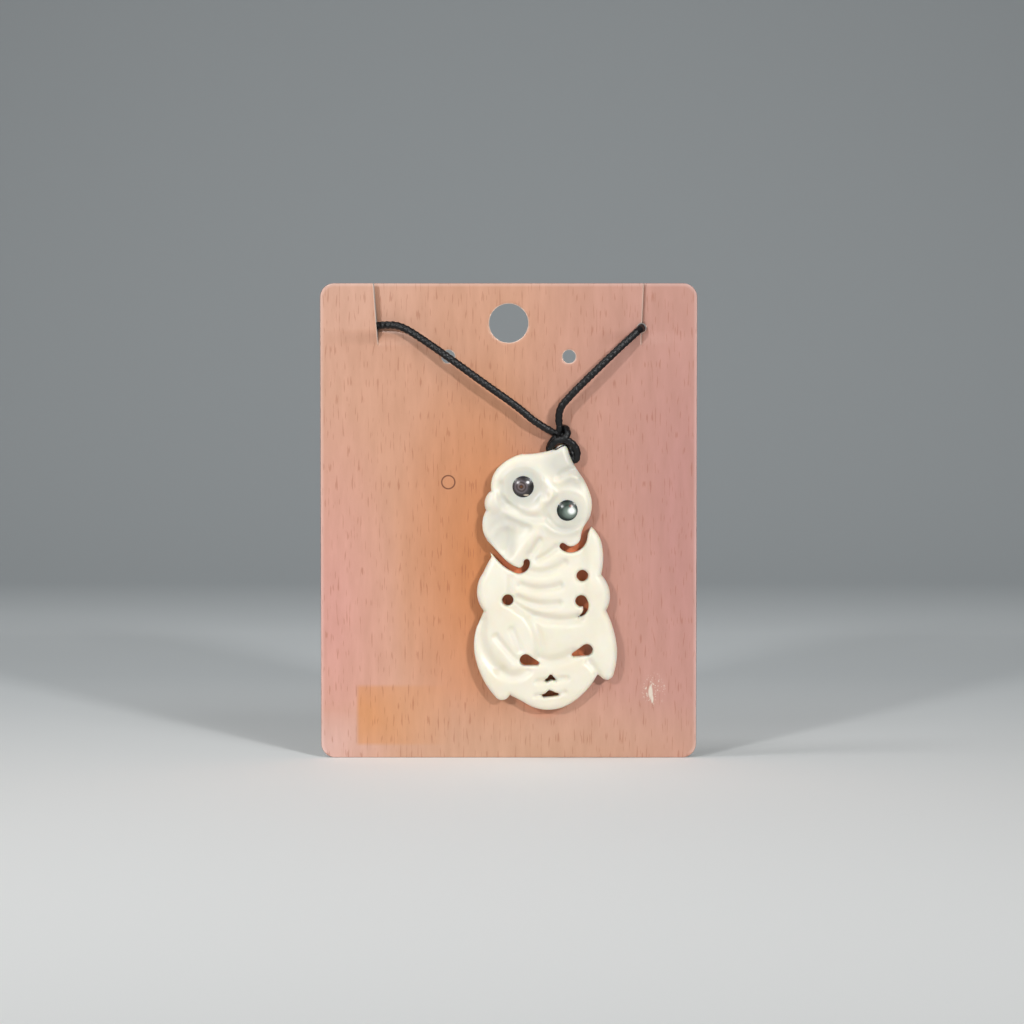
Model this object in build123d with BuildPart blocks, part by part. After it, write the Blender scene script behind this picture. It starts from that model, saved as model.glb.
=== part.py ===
from build123d import *
import math
import os

import numpy as np

# A bone hei tiki pendant on a waxed cord, hung on a display card.
# Millimetres. +Z is up, +X is to the right seen from the front, and the front looks along -Y.
# The origin is the centre of the card's hang hole, halfway through the card.

# Card
CARD_WIDTH = 79.2
CARD_HEIGHT = 100.0
CARD_THICKNESS = 0.6
CARD_CORNER = 3.0
HANG_HOLE = 8.2
HANG_DROP = 8.4
PUNCH_HOLE = 2.8
PUNCH_SIDE = 12.7
PUNCH_DROP = 7.0
SCORE_SIZE = 2.7
SCORE_CUT = 0.2
SCORE_DEPTH = 0.25
SCORE_DROP = 33.4
SLIT_SIDE = 27.9
SLIT_LENGTH = 13.2
SLIT_WIDTH = 0.2
PANEL_FLAT = 14.0

# How far each edge of the two slits is sprung out of the card by the cord, + is to the back,
# and the share of it that is left at the far side of each panel
LEFT_FLAP_SPRING = -1.4
LEFT_PANEL_SPRING = 1.45
RIGHT_PANEL_SPRING = -0.9
RIGHT_FLAP_SPRING = 0.5
FAR_SHARE = 0.05

# Cord and its knots
CORD = 1.8
CORD_CLEARANCE = 0.1
BITE_CLEARANCE = 0.45
HITCH_BALL = 4.4
HITCH_REACH = 1.95
HITCH_LOOP = 1.7
SLIDE_LENGTH = 8.0
SLIDE_WIDTH = 7.2
SLIDE_DEPTH = 5.4
SLIDE_FOOT = -24.0

# Pendant
TIKI_WIDTH = 30.1
TIKI_HEIGHT = 55.8
TIKI_THICKNESS = 5.0
TIKI_MIDDLE = 7.75
TIKI_TOP = -25.35
TIKI_GAP = 0.3
EDGE_ROUND = 1.9
EDGE_WALL = 2.3
EDGE_BEYOND = 1.5
JAW_SLOT_RIGHT = 1.4
JAW_SLOT_LEFT = 1.32
CORD_HOLE = 2.2
LEFT_EYE = 4.6
RIGHT_EYE = 4.5
EYE_CLEARANCE = 0.05
EYE_SEAT = 1.2
EYE_DOME = 0.45
CARVING_STEP = 0.6
CARVING_TOLERANCE = 0.1

front = -CARD_THICKNESS / 2
back = CARD_THICKNESS / 2
card_top = HANG_DROP
card_bottom = HANG_DROP - CARD_HEIGHT
slit_foot = HANG_DROP - SLIT_LENGTH
tiki_back = front - TIKI_GAP
tiki_left = TIKI_MIDDLE - TIKI_WIDTH / 2
tiki_bottom = TIKI_TOP - TIKI_HEIGHT


def spot(u, v):
    """A place on the pendant from its shares of the width and the height, as (x, z)."""
    return (tiki_left + u * TIKI_WIDTH, tiki_bottom + v * TIKI_HEIGHT)


# Outline of the pendant, clockwise from the left foot of the nub at the top of the head.
# Each row is one arc: a point halfway along it and its end, as shares of width and height.
# A row with no halfway point is a straight line.
OUTLINE_START = (0.573, 0.985)
OUTLINE = [
    # name, halfway u, halfway v, end u, end v
    ("nub", 0.617, 0.999, 0.655, 0.980),
    ("brow, right", 0.685, 0.937, 0.731, 0.895),
    ("temple, right", 0.787, 0.846, 0.818, 0.799),
    ("cheek, right", 0.821, 0.758, 0.799, 0.717),
    ("mouth of the right slot", None, None, 0.822, 0.688),
    ("right arm tip", 0.871, 0.655, 0.897, 0.607),
    ("right upper arm", 0.901, 0.560, 0.887, 0.509),
    ("right forearm", 0.947, 0.446, 0.922, 0.375),
    ("right leg, outside", 0.973, 0.305, 0.999, 0.233),
    ("right leg, lower", 0.997, 0.192, 0.976, 0.139),
    ("right foot", 0.936, 0.114, 0.885, 0.126),
    ("right foot notch", None, None, 0.862, 0.134),
    ("jaw of the lower face, right", 0.787, 0.075, 0.678, 0.025),
    ("chin of the lower face", 0.514, 0.000, 0.350, 0.028),
    ("jaw of the lower face, left", None, None, 0.250, 0.057),
    ("left foot", 0.200, 0.037, 0.159, 0.044),
    ("left leg, lower", 0.076, 0.103, 0.019, 0.178),
    ("left leg, outside", 0.000, 0.248, 0.020, 0.312),
    ("left hip", 0.048, 0.345, 0.069, 0.373),
    ("left forearm", 0.021, 0.443, 0.062, 0.514),
    ("left arm tip", 0.090, 0.545, 0.124, 0.577),
    ("mouth of the left slot", None, None, 0.087, 0.645),
    ("jaw, left", 0.059, 0.694, 0.086, 0.752),
    ("cheek curl, left", 0.075, 0.784, 0.121, 0.825),
    ("temple, left", 0.126, 0.871, 0.164, 0.909),
    ("crown", 0.238, 0.942, 0.336, 0.963),
    ("top of the head", 0.448, 0.967, 0.573, 0.985),
]

# The two slots that part the jaw from the shoulders: the middle line of each cut
RIGHT_SLOT_START = (0.817, 0.709)
RIGHT_SLOT = [
    # halfway u, halfway v, end u, end v
    (0.783, 0.681, 0.769, 0.654),
    (0.745, 0.622, 0.696, 0.606),
    (0.655, 0.606, 0.620, 0.617),
]
LEFT_SLOT_START = (0.059, 0.639)
LEFT_SLOT = [
    (0.121, 0.606, 0.182, 0.570),
    (0.232, 0.546, 0.297, 0.527),
    (0.354, 0.534, 0.368, 0.557),
]
JAW_SLOTS = [
    (RIGHT_SLOT_START, RIGHT_SLOT, JAW_SLOT_RIGHT),
    (LEFT_SLOT_START, LEFT_SLOT, JAW_SLOT_LEFT),
]

# Round piercings and the two tapered eye holes of the lower face
ROUND_HOLES = [
    # name, u, v, diameter
    ("left arm hole", 0.236, 0.415, 2.38),
    ("right arm hole", 0.756, 0.506, 2.44),
    ("comma head", 0.748, 0.411, 2.48),
]
COMMA_TAIL = [
    # outer arc: start, halfway, end
    (0.778, 0.424),
    (0.801, 0.394),
    (0.728, 0.3485),
    # inner arc: start, halfway, end
    (0.727, 0.3535),
    (0.757, 0.370),
    (0.760, 0.392),
]
TAPERED_HOLES = [
    # name, wide end u, v, diameter, narrow end u, v, diameter
    ("left lower eye", 0.361, 0.189, 2.50, 0.441, 0.176, 0.90),
    ("right lower eye", 0.787, 0.226, 2.55, 0.696, 0.208, 0.84),
]
CUT_SHAPES = [
    # name, corners as u, v
    ("nose", [
        (0.528, 0.134), (0.543, 0.134), (0.560, 0.123), (0.578, 0.111), (0.570, 0.109),
        (0.542, 0.113), (0.511, 0.105), (0.493, 0.109), (0.497, 0.115), (0.515, 0.123),
    ]),
    ("mouth", [
        (0.526, 0.076), (0.545, 0.073), (0.568, 0.067), (0.591, 0.063), (0.593, 0.054),
        (0.542, 0.050), (0.486, 0.047), (0.468, 0.057), (0.499, 0.064), (0.513, 0.072),
    ]),
]

EYES = [
    # name, u, v, diameter
    ("left", 0.343, 0.842, LEFT_EYE),
    ("right", 0.650, 0.753, RIGHT_EYE),
]
CORD_HOLE_ENDS = [(0.531, 0.986), (0.678, 0.948)]

# Carved forms of the front. Heights are shares of the thickness, radii shares of the width.
BASE_HEIGHT = 0.70
EYE_LEVEL = 0.80
socket_floor = tiki_back - EYE_LEVEL * TIKI_THICKNESS + EYE_SEAT
MASSES = [
    # name, u, v, radius along, radius across, turn in degrees, height
    ("head", 0.49, 0.80, 0.36, 0.26, -28, 0.14),
    ("nub", 0.61, 0.95, 0.14, 0.12, -28, 0.06),
    ("cheek curl", 0.13, 0.785, 0.08, 0.07, 30, 0.12),
    ("chest", 0.52, 0.45, 0.26, 0.20, 0, 0.16),
    ("right arm", 0.86, 0.58, 0.10, 0.22, 0, 0.10),
    ("right forearm", 0.85, 0.44, 0.12, 0.14, 0, 0.13),
    ("left arm", 0.14, 0.46, 0.12, 0.20, 0, 0.12),
    ("left haunch", 0.23, 0.27, 0.20, 0.26, 20, 0.22),
    ("belly", 0.60, 0.29, 0.20, 0.18, 0, 0.17),
    ("right leg", 0.91, 0.24, 0.10, 0.28, 5, 0.14),
    ("left leg edge", 0.10, 0.12, 0.10, 0.12, 30, 0.05),
    ("lower face", 0.52, 0.10, 0.30, 0.17, 5, 0.14),
]
# Raised (+) and cut (-) lines, each a curve through three points
STROKES = [
    # name, u, v, through u, v, to u, v, half width, height
    ("left cheek fold", 0.34, 0.753, 0.42, 0.752, 0.475, 0.785, 0.035, 0.12),
    ("groove under the left eye", 0.20, 0.795, 0.33, 0.745, 0.51, 0.722, 0.030, -0.10),
    ("lip band", 0.22, 0.745, 0.34, 0.716, 0.45, 0.700, 0.030, 0.07),
    ("groove under the lip", 0.24, 0.720, 0.31, 0.697, 0.37, 0.690, 0.026, -0.09),
    ("nose", 0.535, 0.815, 0.532, 0.797, 0.522, 0.775, 0.030, 0.09),
    ("groove of the right eye", 0.515, 0.770, 0.590, 0.690, 0.735, 0.712, 0.026, -0.12),
    ("right cheek ridge", 0.500, 0.705, 0.600, 0.668, 0.700, 0.680, 0.032, 0.08),
    ("brow, right crease", 0.60, 0.880, 0.64, 0.898, 0.70, 0.908, 0.024, -0.10),
    ("brow, right ridge", 0.59, 0.862, 0.64, 0.878, 0.72, 0.872, 0.030, 0.08),
    ("brow between the eyes", 0.49, 0.86, 0.53, 0.83, 0.56, 0.80, 0.030, 0.05),
    ("groove beside the left eye", 0.19, 0.85, 0.185, 0.81, 0.22, 0.775, 0.028, -0.08),
    ("left cheek arch", 0.18, 0.640, 0.21, 0.700, 0.28, 0.680, 0.034, 0.06),
    ("tongue", 0.43, 0.663, 0.36, 0.620, 0.27, 0.560, 0.055, 0.15),
    ("groove beside the tongue", 0.46, 0.640, 0.43, 0.615, 0.40, 0.590, 0.024, -0.13),
    ("lower lip groove", 0.57, 0.612, 0.52, 0.590, 0.455, 0.568, 0.024, -0.12),
    ("chin crease", 0.385, 0.524, 0.50, 0.522, 0.63, 0.556, 0.028, -0.16),
    ("upper rib groove", 0.33, 0.471, 0.45, 0.457, 0.60, 0.469, 0.026, -0.15),
    ("lower rib groove", 0.31, 0.425, 0.44, 0.401, 0.59, 0.403, 0.026, -0.15),
    ("waist crease", 0.29, 0.400, 0.48, 0.348, 0.73, 0.348, 0.032, -0.20),
    ("crease of the left arm", 0.265, 0.500, 0.262, 0.465, 0.270, 0.430, 0.028, -0.08),
    ("crease of the right arm", 0.765, 0.595, 0.762, 0.540, 0.757, 0.420, 0.040, -0.09),
    ("haunch groove", 0.055, 0.335, 0.075, 0.220, 0.19, 0.148, 0.040, -0.14),
    ("haunch groove, foot", 0.19, 0.148, 0.27, 0.130, 0.37, 0.150, 0.034, -0.13),
    ("finger groove, long", 0.155, 0.278, 0.22, 0.235, 0.295, 0.190, 0.024, -0.11),
    ("finger groove, short", 0.265, 0.305, 0.30, 0.265, 0.325, 0.228, 0.024, -0.09),
    ("inner side of the haunch", 0.40, 0.345, 0.445, 0.295, 0.455, 0.205, 0.032, -0.12),
    ("belly crease", 0.46, 0.193, 0.57, 0.190, 0.69, 0.216, 0.034, -0.13),
    ("leaf crease of the right leg", 0.80, 0.185, 0.835, 0.165, 0.86, 0.140, 0.026, -0.10),
    ("wing of the nose, left", 0.438, 0.108, 0.465, 0.112, 0.493, 0.112, 0.018, -0.10),
    ("wing of the nose, right", 0.575, 0.116, 0.610, 0.120, 0.648, 0.121, 0.018, -0.10),
    ("corner of the mouth, left", 0.427, 0.053, 0.448, 0.056, 0.470, 0.057, 0.016, -0.08),
    ("corner of the mouth, right", 0.590, 0.061, 0.610, 0.065, 0.632, 0.067, 0.016, -0.08),
]
EYE_RIM = 0.085
EYE_RIM_WIDTH = 0.026
EYE_RIM_HEIGHT = 0.10

# Routes of the two legs of the cord: in front from the hitch to the slit, through it, and
# behind the card in a plain hanging loop, side by side, each ending in a sliding knot.
hitch = (10.82, -2.7, -22.97)
left_start = (-0.93, 0.37)
right_start = (-0.10, 0.995)
HITCH_LOOP_ROUTE = [
    (12.50, -24.00),
    (14.05, -25.35),
    (14.12, -28.75),
    (8.50, -26.00),
]
LEFT_ROUTE = [
    (5.87, -2.20, -20.70),
    (1.90, -1.60, -17.45),
    (-4.60, -1.40, -12.95),
    (-12.00, -1.35, -7.55),
    (-17.80, -1.35, -3.50),
    (-22.40, -1.35, -0.55),
    (-25.70, -1.12, -0.30),
    (-30.20, 1.30, -0.90),
    (-33.60, 2.75, -4.20),
    (-34.95, 3.20, -12.50),
    (-34.95, 3.20, -27.00),
    (-35.35, 3.20, -44.00),
    (-33.30, 3.20, -60.40),
    (-24.90, 3.20, -74.80),
    (-10.80, 3.20, -83.25),
    (7.00, 3.20, -83.25),
    (21.10, 3.20, -74.80),
    (29.50, 3.20, -60.40),
    (31.45, 3.20, -44.00),
    (31.05, 3.20, -33.00),
    (31.05, 3.20, SLIDE_FOOT),
]
RIGHT_ROUTE = [
    (10.10, -2.30, -18.30),
    (13.20, -1.80, -14.75),
    (19.10, -1.95, -9.00),
    (23.90, -2.15, -4.45),
    (27.90, -2.40, -0.90),
    (27.85, 1.60, -1.00),
    (28.60, 2.90, -6.60),
    (28.95, 3.20, -12.50),
    (28.95, 3.20, -27.00),
    (29.35, 3.20, -44.00),
    (27.70, 3.20, -59.60),
    (19.70, 3.20, -73.20),
    (6.40, 3.20, -81.15),
    (-10.20, 3.20, -81.15),
    (-23.50, 3.20, -73.20),
    (-31.30, 3.20, -59.60),
    (-33.25, 3.20, -44.00),
    (-32.85, 3.20, -33.00),
    (-32.85, 3.20, SLIDE_FOOT),
]


def arcs(start, rows):
    """Edges of an outline given as rows of halfway and end points, and its sampled points."""
    edges = []
    samples = [spot(*start)]
    here = start
    for mid_u, mid_v, end_u, end_v in rows:
        if mid_u is None:
            edges.append((spot(*here), None, spot(end_u, end_v)))
            samples.append(spot(end_u, end_v))
        else:
            edges.append((spot(*here), spot(mid_u, mid_v), spot(end_u, end_v)))
            samples += arc_points(*edges[-1])
        here = (end_u, end_v)
    return edges, samples


def arc_points(start, middle, end, count=8):
    """Points along the circle through three points, without the first."""
    (ax, ay), (bx, by), (cx, cy) = start, middle, end
    d = 2 * (ax * (by - cy) + bx * (cy - ay) + cx * (ay - by))
    a2, b2, c2 = ax * ax + ay * ay, bx * bx + by * by, cx * cx + cy * cy
    ox = (a2 * (by - cy) + b2 * (cy - ay) + c2 * (ay - by)) / d
    oy = (a2 * (cx - bx) + b2 * (ax - cx) + c2 * (bx - ax)) / d
    first = math.atan2(ay - oy, ax - ox)
    turn = math.atan2(cy - oy, cx - ox) - first
    clockwise = (bx - ax) * (cy - ay) - (by - ay) * (cx - ax) < 0
    turn = turn % (2 * math.pi) - (2 * math.pi if clockwise else 0)
    radius = math.hypot(ax - ox, ay - oy)
    return [
        (ox + radius * math.cos(first + turn * i / count), oy + radius * math.sin(first + turn * i / count))
        for i in range(1, count + 1)
    ]


def draw(edges):
    """Draw the lines and arcs of an outline in the open BuildLine."""
    for start, middle, end in edges:
        if middle is None:
            Line(start, end)
        else:
            ThreePointArc(start, middle, end)


def distance_to_line(x, z, points):
    """Distance of each grid place from a chain of straight pieces."""
    best = np.full(x.shape, 1e9)
    for (ax, az), (bx, bz) in zip(points[:-1], points[1:]):
        dx, dz = bx - ax, bz - az
        length = dx * dx + dz * dz
        if length < 1e-12:
            continue
        t = np.clip(((x - ax) * dx + (z - az) * dz) / length, 0, 1)
        best = np.minimum(best, np.hypot(x - ax - t * dx, z - az - t * dz))
    return best


def inside_of(x, z, points):
    """True where a grid place lies inside a closed outline, by counting crossings."""
    inside = np.zeros(x.shape, bool)
    for (ax, az), (bx, bz) in zip(points, points[1:] + points[:1]):
        if az == bz:
            continue
        crosses = (az > z) != (bz > z)
        inside ^= crosses & (x < (bx - ax) * (z - az) / (bz - az) + ax)
    return inside


def carving(x, z, outline_points):
    """Height of the carved front above the flat back.

    A base level, plus one rounded mass for each form, plus a soft line for each ridge or
    groove, with level seats round the eyes. Towards the outline it falls along a parabola,
    and beyond the outline it goes on falling in a straight line.
    """
    height = np.full(x.shape, BASE_HEIGHT)
    for _, u, v, along, across, turn, rise in MASSES:
        cx, cz = spot(u, v)
        c, s = math.cos(math.radians(turn)), math.sin(math.radians(turn))
        a = ((x - cx) * c + (z - cz) * s) / (along * TIKI_WIDTH)
        b = (-(x - cx) * s + (z - cz) * c) / (across * TIKI_WIDTH)
        height += rise * np.exp(-((a * a + b * b) ** 1.5))
    for _, u0, v0, u1, v1, u2, v2, half, rise in STROKES:
        line = arc_points(spot(u0, v0), spot(u1, v1), spot(u2, v2))
        off = distance_to_line(x, z, [spot(u0, v0)] + line) / (half * TIKI_WIDTH)
        height += rise * np.exp(-(off ** 2))
    for _, u, v, size in EYES:
        cx, cz = spot(u, v)
        off = np.hypot(x - cx, z - cz)
        level = np.exp(-((off / (EYE_RIM * TIKI_WIDTH)) ** 6))
        height = height * (1 - level) + EYE_LEVEL * level
        ring = (off - size / 2 - EYE_RIM_WIDTH * TIKI_WIDTH) / (EYE_RIM_WIDTH * TIKI_WIDTH)
        height += EYE_RIM_HEIGHT * np.exp(-(ring ** 2))
    height *= TIKI_THICKNESS
    depth = distance_to_line(x, z, outline_points)
    depth = np.where(inside_of(x, z, outline_points), depth, -depth)
    t = np.clip(depth / EDGE_ROUND, -EDGE_BEYOND, 1)
    rounding = np.where(t > 0, 1 - (1 - t) ** 2, 2 * t)
    return EDGE_WALL + (height - EDGE_WALL) * rounding


def panel_profile(spring):
    """Section of the card beside a slit: upright foot, then sprung forward or back."""
    ramp = CORD + 2 * CORD_CLEARANCE
    lower = slit_foot + ramp / 2
    upper = slit_foot + ramp * 1.5
    return [
        (front, slit_foot),
        (front + spring * 0.45, lower),
        (front + spring, upper),
        (front + spring, card_top),
        (back + spring, card_top),
        (back + spring, upper),
        (back + spring * 0.45, lower),
        (back, slit_foot),
    ]


def bend_radii(points):
    """Largest arc at each corner of a cord's route that its two runs allow."""
    radii = []
    for before, here, after in zip(points[:-2], points[1:-1], points[2:]):
        first = Vector(here) - Vector(before)
        second = Vector(after) - Vector(here)
        half = math.radians(first.get_angle(second)) / 2
        radii.append(0.45 * min(first.length, second.length) / math.tan(half))
    return radii


def leg(direction, route):
    """A leg's points: it starts at the knot's surface, in the given direction (x, z)."""
    x, y, z = hitch
    start = (x + HITCH_REACH * direction[0], y, z + HITCH_REACH * direction[1])
    return [start] + route


def cord_tube(name, points, diameter):
    """Straight runs joined by tangent arcs, with a round section."""
    radii = bend_radii(points)
    with BuildPart() as tube:
        with BuildLine() as path:
            FilletPolyline(*points, radius=radii)
        route = path.wires()[0]
        with BuildSketch(Plane(origin=route @ 0, z_dir=route % 0)):
            Circle(diameter / 2)
        sweep(path=route)
    tube.part.label = name
    length = route.length
    expected = length * math.pi * diameter ** 2 / 4
    print(name, "length", round(length, 1), "volume share", round(tube.part.volume / expected, 4))
    print("   bend radii", [round(r, 1) for r in radii])
    return tube


# Card
with BuildPart() as card:
    with BuildSketch(Plane.XZ.offset(front)):
        with Locations((0, (card_bottom + slit_foot) / 2)):
            Rectangle(CARD_WIDTH, slit_foot - card_bottom)
    extrude(amount=CARD_THICKNESS)
    edge = CARD_WIDTH / 2
    inner = SLIT_SIDE - SLIT_WIDTH / 2
    outer = SLIT_SIDE + SLIT_WIDTH / 2
    panels = [
        # left side, its spring, right side, its spring
        (-edge, FAR_SHARE * LEFT_FLAP_SPRING, -outer, LEFT_FLAP_SPRING),
        (-inner, LEFT_PANEL_SPRING, -PANEL_FLAT, FAR_SHARE * LEFT_PANEL_SPRING),
        (-PANEL_FLAT, FAR_SHARE * LEFT_PANEL_SPRING, PANEL_FLAT, FAR_SHARE * RIGHT_PANEL_SPRING),
        (PANEL_FLAT, FAR_SHARE * RIGHT_PANEL_SPRING, inner, RIGHT_PANEL_SPRING),
        (outer, RIGHT_FLAP_SPRING, edge, FAR_SHARE * RIGHT_FLAP_SPRING),
    ]
    for x_from, spring_from, x_to, spring_to in panels:
        with BuildSketch(Plane.YZ.offset(x_from)):
            with BuildLine():
                Polyline(*panel_profile(spring_from), close=True)
            make_face()
        with BuildSketch(Plane.YZ.offset(x_to)):
            with BuildLine():
                Polyline(*panel_profile(spring_to), close=True)
            make_face()
        loft(ruled=True)
    reach = CARD_THICKNESS + 2 * max(abs(LEFT_FLAP_SPRING), abs(LEFT_PANEL_SPRING), abs(RIGHT_PANEL_SPRING))
    with BuildSketch(Plane.XZ.offset(-reach)):
        with Locations((0, (card_top + card_bottom) / 2)):
            RectangleRounded(CARD_WIDTH, CARD_HEIGHT, CARD_CORNER)
    extrude(amount=2 * reach, mode=Mode.INTERSECT)
    with BuildSketch(Plane.XZ.offset(-reach)):
        Circle(HANG_HOLE / 2)
        with Locations((-PUNCH_SIDE, -PUNCH_DROP), (PUNCH_SIDE, -PUNCH_DROP)):
            Circle(PUNCH_HOLE / 2)
    extrude(amount=2 * reach, mode=Mode.SUBTRACT)
    bite = CORD / 2 + BITE_CLEARANCE
    with BuildSketch(Plane.XZ.offset(-reach)):
        with Locations((SLIT_SIDE - CORD_CLEARANCE, RIGHT_ROUTE[5][2])):
            Circle(bite)
    extrude(amount=2 * reach, mode=Mode.SUBTRACT)
    with BuildSketch(Plane.XZ.offset(-front)):
        with Locations((-PUNCH_SIDE, -SCORE_DROP)):
            Circle(SCORE_SIZE / 2)
            Circle(SCORE_SIZE / 2 - SCORE_CUT, mode=Mode.SUBTRACT)
    extrude(amount=-SCORE_DEPTH, mode=Mode.SUBTRACT)
card.part.label = "card"

# Pendant
outline_edges, outline_points = arcs(OUTLINE_START, [row[1:] for row in OUTLINE])
columns = round((TIKI_WIDTH + 4) / CARVING_STEP)
rows = round((TIKI_HEIGHT + 4) / CARVING_STEP)
grid_x = np.linspace(tiki_left - 2, tiki_left + TIKI_WIDTH + 2, columns)
grid_z = np.linspace(tiki_bottom - 2, TIKI_TOP + 2, rows)
field_x, field_z = np.meshgrid(grid_x, grid_z)
field = carving(field_x, field_z, outline_points)
front_points = [
    [Vector(float(x), tiki_back - float(h), float(z)) for x, h in zip(grid_x, line)]
    for z, line in zip(grid_z, field)
]
carved_face = Face.make_surface_from_array_of_points(front_points, tol=CARVING_TOLERANCE, min_deg=3, max_deg=3)

with BuildPart() as tiki:
    with BuildSketch(Plane.XZ.offset(-tiki_back)):
        with BuildLine():
            draw(outline_edges)
        make_face()
        for slot_start, slot_rows, width in JAW_SLOTS:
            slot_edges, _ = arcs(slot_start, slot_rows)
            with BuildLine():
                draw(slot_edges)
            trace(line_width=width, mode=Mode.SUBTRACT)
            with Locations(*[end for _, _, end in slot_edges]):
                Circle(width / 2, mode=Mode.SUBTRACT)
        for _, u, v, size in ROUND_HOLES:
            with Locations(spot(u, v)):
                Circle(size / 2, mode=Mode.SUBTRACT)
        with BuildLine():
            tail = [spot(*place) for place in COMMA_TAIL]
            ThreePointArc(tail[0], tail[1], tail[2])
            Line(tail[2], tail[3])
            ThreePointArc(tail[3], tail[4], tail[5])
            Line(tail[5], tail[0])
        make_face(mode=Mode.SUBTRACT)
        for _, corners in CUT_SHAPES:
            with BuildLine():
                Polyline(*[spot(*corner) for corner in corners], close=True)
            make_face(mode=Mode.SUBTRACT)
    extrude(amount=1.5 * TIKI_THICKNESS)
    for _, u0, v0, size0, u1, v1, size1 in TAPERED_HOLES:
        with BuildSketch(Plane.XZ.offset(-tiki_back)):
            with Locations(spot(u0, v0)):
                Circle(size0 / 2)
            with Locations(spot(u1, v1)):
                Circle(size1 / 2)
            make_hull()
        extrude(amount=1.5 * TIKI_THICKNESS, mode=Mode.SUBTRACT)
    split(bisect_by=carved_face, keep=Keep.TOP)
    for _, u, v, size in EYES:
        with BuildSketch(Plane.XZ.offset(-socket_floor)):
            with Locations(spot(u, v)):
                Circle(size / 2)
        extrude(amount=TIKI_THICKNESS, mode=Mode.SUBTRACT)
    hole_from, hole_to = [Vector(x, hitch[1], z) for x, z in (spot(*end) for end in CORD_HOLE_ENDS)]
    with BuildSketch(Plane(origin=hole_from, z_dir=hole_to - hole_from)):
        Circle(CORD_HOLE / 2)
    extrude(amount=TIKI_WIDTH / 4, both=True, mode=Mode.SUBTRACT)
tiki.part.label = "tiki"

# Shell discs set in the eyes, each turned as a low dome
eyes = []
for side, u, v, size in EYES:
    eye_x, eye_z = spot(u, v)
    radius = size / 2 - EYE_CLEARANCE
    seat = EYE_SEAT - EYE_CLEARANCE
    sphere = (radius ** 2 + EYE_DOME ** 2) / (2 * EYE_DOME)
    shoulder = seat + EYE_DOME - sphere + math.sqrt(sphere ** 2 - radius ** 2 / 4)
    floor = Plane(
        origin=(eye_x, socket_floor - EYE_CLEARANCE, eye_z),
        x_dir=(1, 0, 0),
        z_dir=(0, 0, -1),
    )
    with BuildPart() as eye:
        with BuildSketch(floor):
            with BuildLine():
                Polyline((0, seat + EYE_DOME), (0, 0), (radius, 0), (radius, seat))
                ThreePointArc((radius, seat), (radius / 2, shoulder), (0, seat + EYE_DOME))
            make_face()
        revolve(axis=Axis((eye_x, socket_floor, eye_z), (0, -1, 0)))
    eye.part.label = "eye_" + side
    eyes.append(eye)

# Knot that hangs the pendant: a ball of wound cord with the loop through the pendant's hole
left_points = leg(left_start, LEFT_ROUTE)
right_points = leg(right_start, RIGHT_ROUTE)
loop_ends = [(hitch[0] + side * HITCH_LOOP / 2, hitch[2]) for side in (1, -1)]
loop_points = [(x, hitch[1], z) for x, z in loop_ends[:1] + HITCH_LOOP_ROUTE + loop_ends[1:]]
loop = cord_tube("hitch_loop", loop_points, HITCH_LOOP)
with BuildPart() as hitch_knot:
    with Locations(hitch):
        Sphere(HITCH_BALL / 2)
    for start, heading in (left_points[:2], right_points[:2]):
        with BuildSketch(Plane(origin=start, z_dir=Vector(heading) - Vector(start))):
            Circle(HITCH_BALL)
        extrude(amount=HITCH_BALL, mode=Mode.SUBTRACT)
    add(loop.part)
hitch_knot.part.label = "hitch_knot"

cords = [
    cord_tube("cord_left", left_points, CORD),
    cord_tube("cord_right", right_points, CORD),
]

# Sliding knots behind the card: each ends one leg and lets the other pass through
slides = []
for side, ending, passing in (
    ("left", RIGHT_ROUTE[-1], LEFT_ROUTE[10]),
    ("right", LEFT_ROUTE[-1], RIGHT_ROUTE[8]),
):
    middle = (ending[0] + passing[0]) / 2
    with BuildPart() as slide:
        with BuildSketch(Plane.XY.offset(SLIDE_FOOT + CORD_CLEARANCE)):
            with Locations((middle, ending[1])):
                SlotOverall(SLIDE_WIDTH, SLIDE_DEPTH)
            with Locations((passing[0], passing[1])):
                Circle(CORD / 2 + CORD_CLEARANCE, mode=Mode.SUBTRACT)
        extrude(amount=SLIDE_LENGTH)
    slide.part.label = "slide_knot_" + side
    slides.append(slide)

os.makedirs("parts", exist_ok=True)
for piece in [card, tiki, hitch_knot] + eyes + cords + slides:
    name = piece.part.label
    print(name, "volume", round(piece.part.volume, 1), "valid", piece.part.is_valid, piece.part.bounding_box())
    export_step(piece.part, "parts/" + name + ".step")
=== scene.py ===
# %% [markdown]
# # A carved bone hei tiki on its display card
# The real object is a flat piece of bone, about 30 by 56 mm and 5 mm thick, carved as a figure with
# a tilted head and a second face at its foot. It hangs by a black waxed braid in two slits of a
# small card printed like beech. The measured solids are loaded first and never moved. Every finer
# surface below is worked out with numpy in the same frame, so it lands where its solid is.

# %% Load the measured solids
import math

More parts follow.
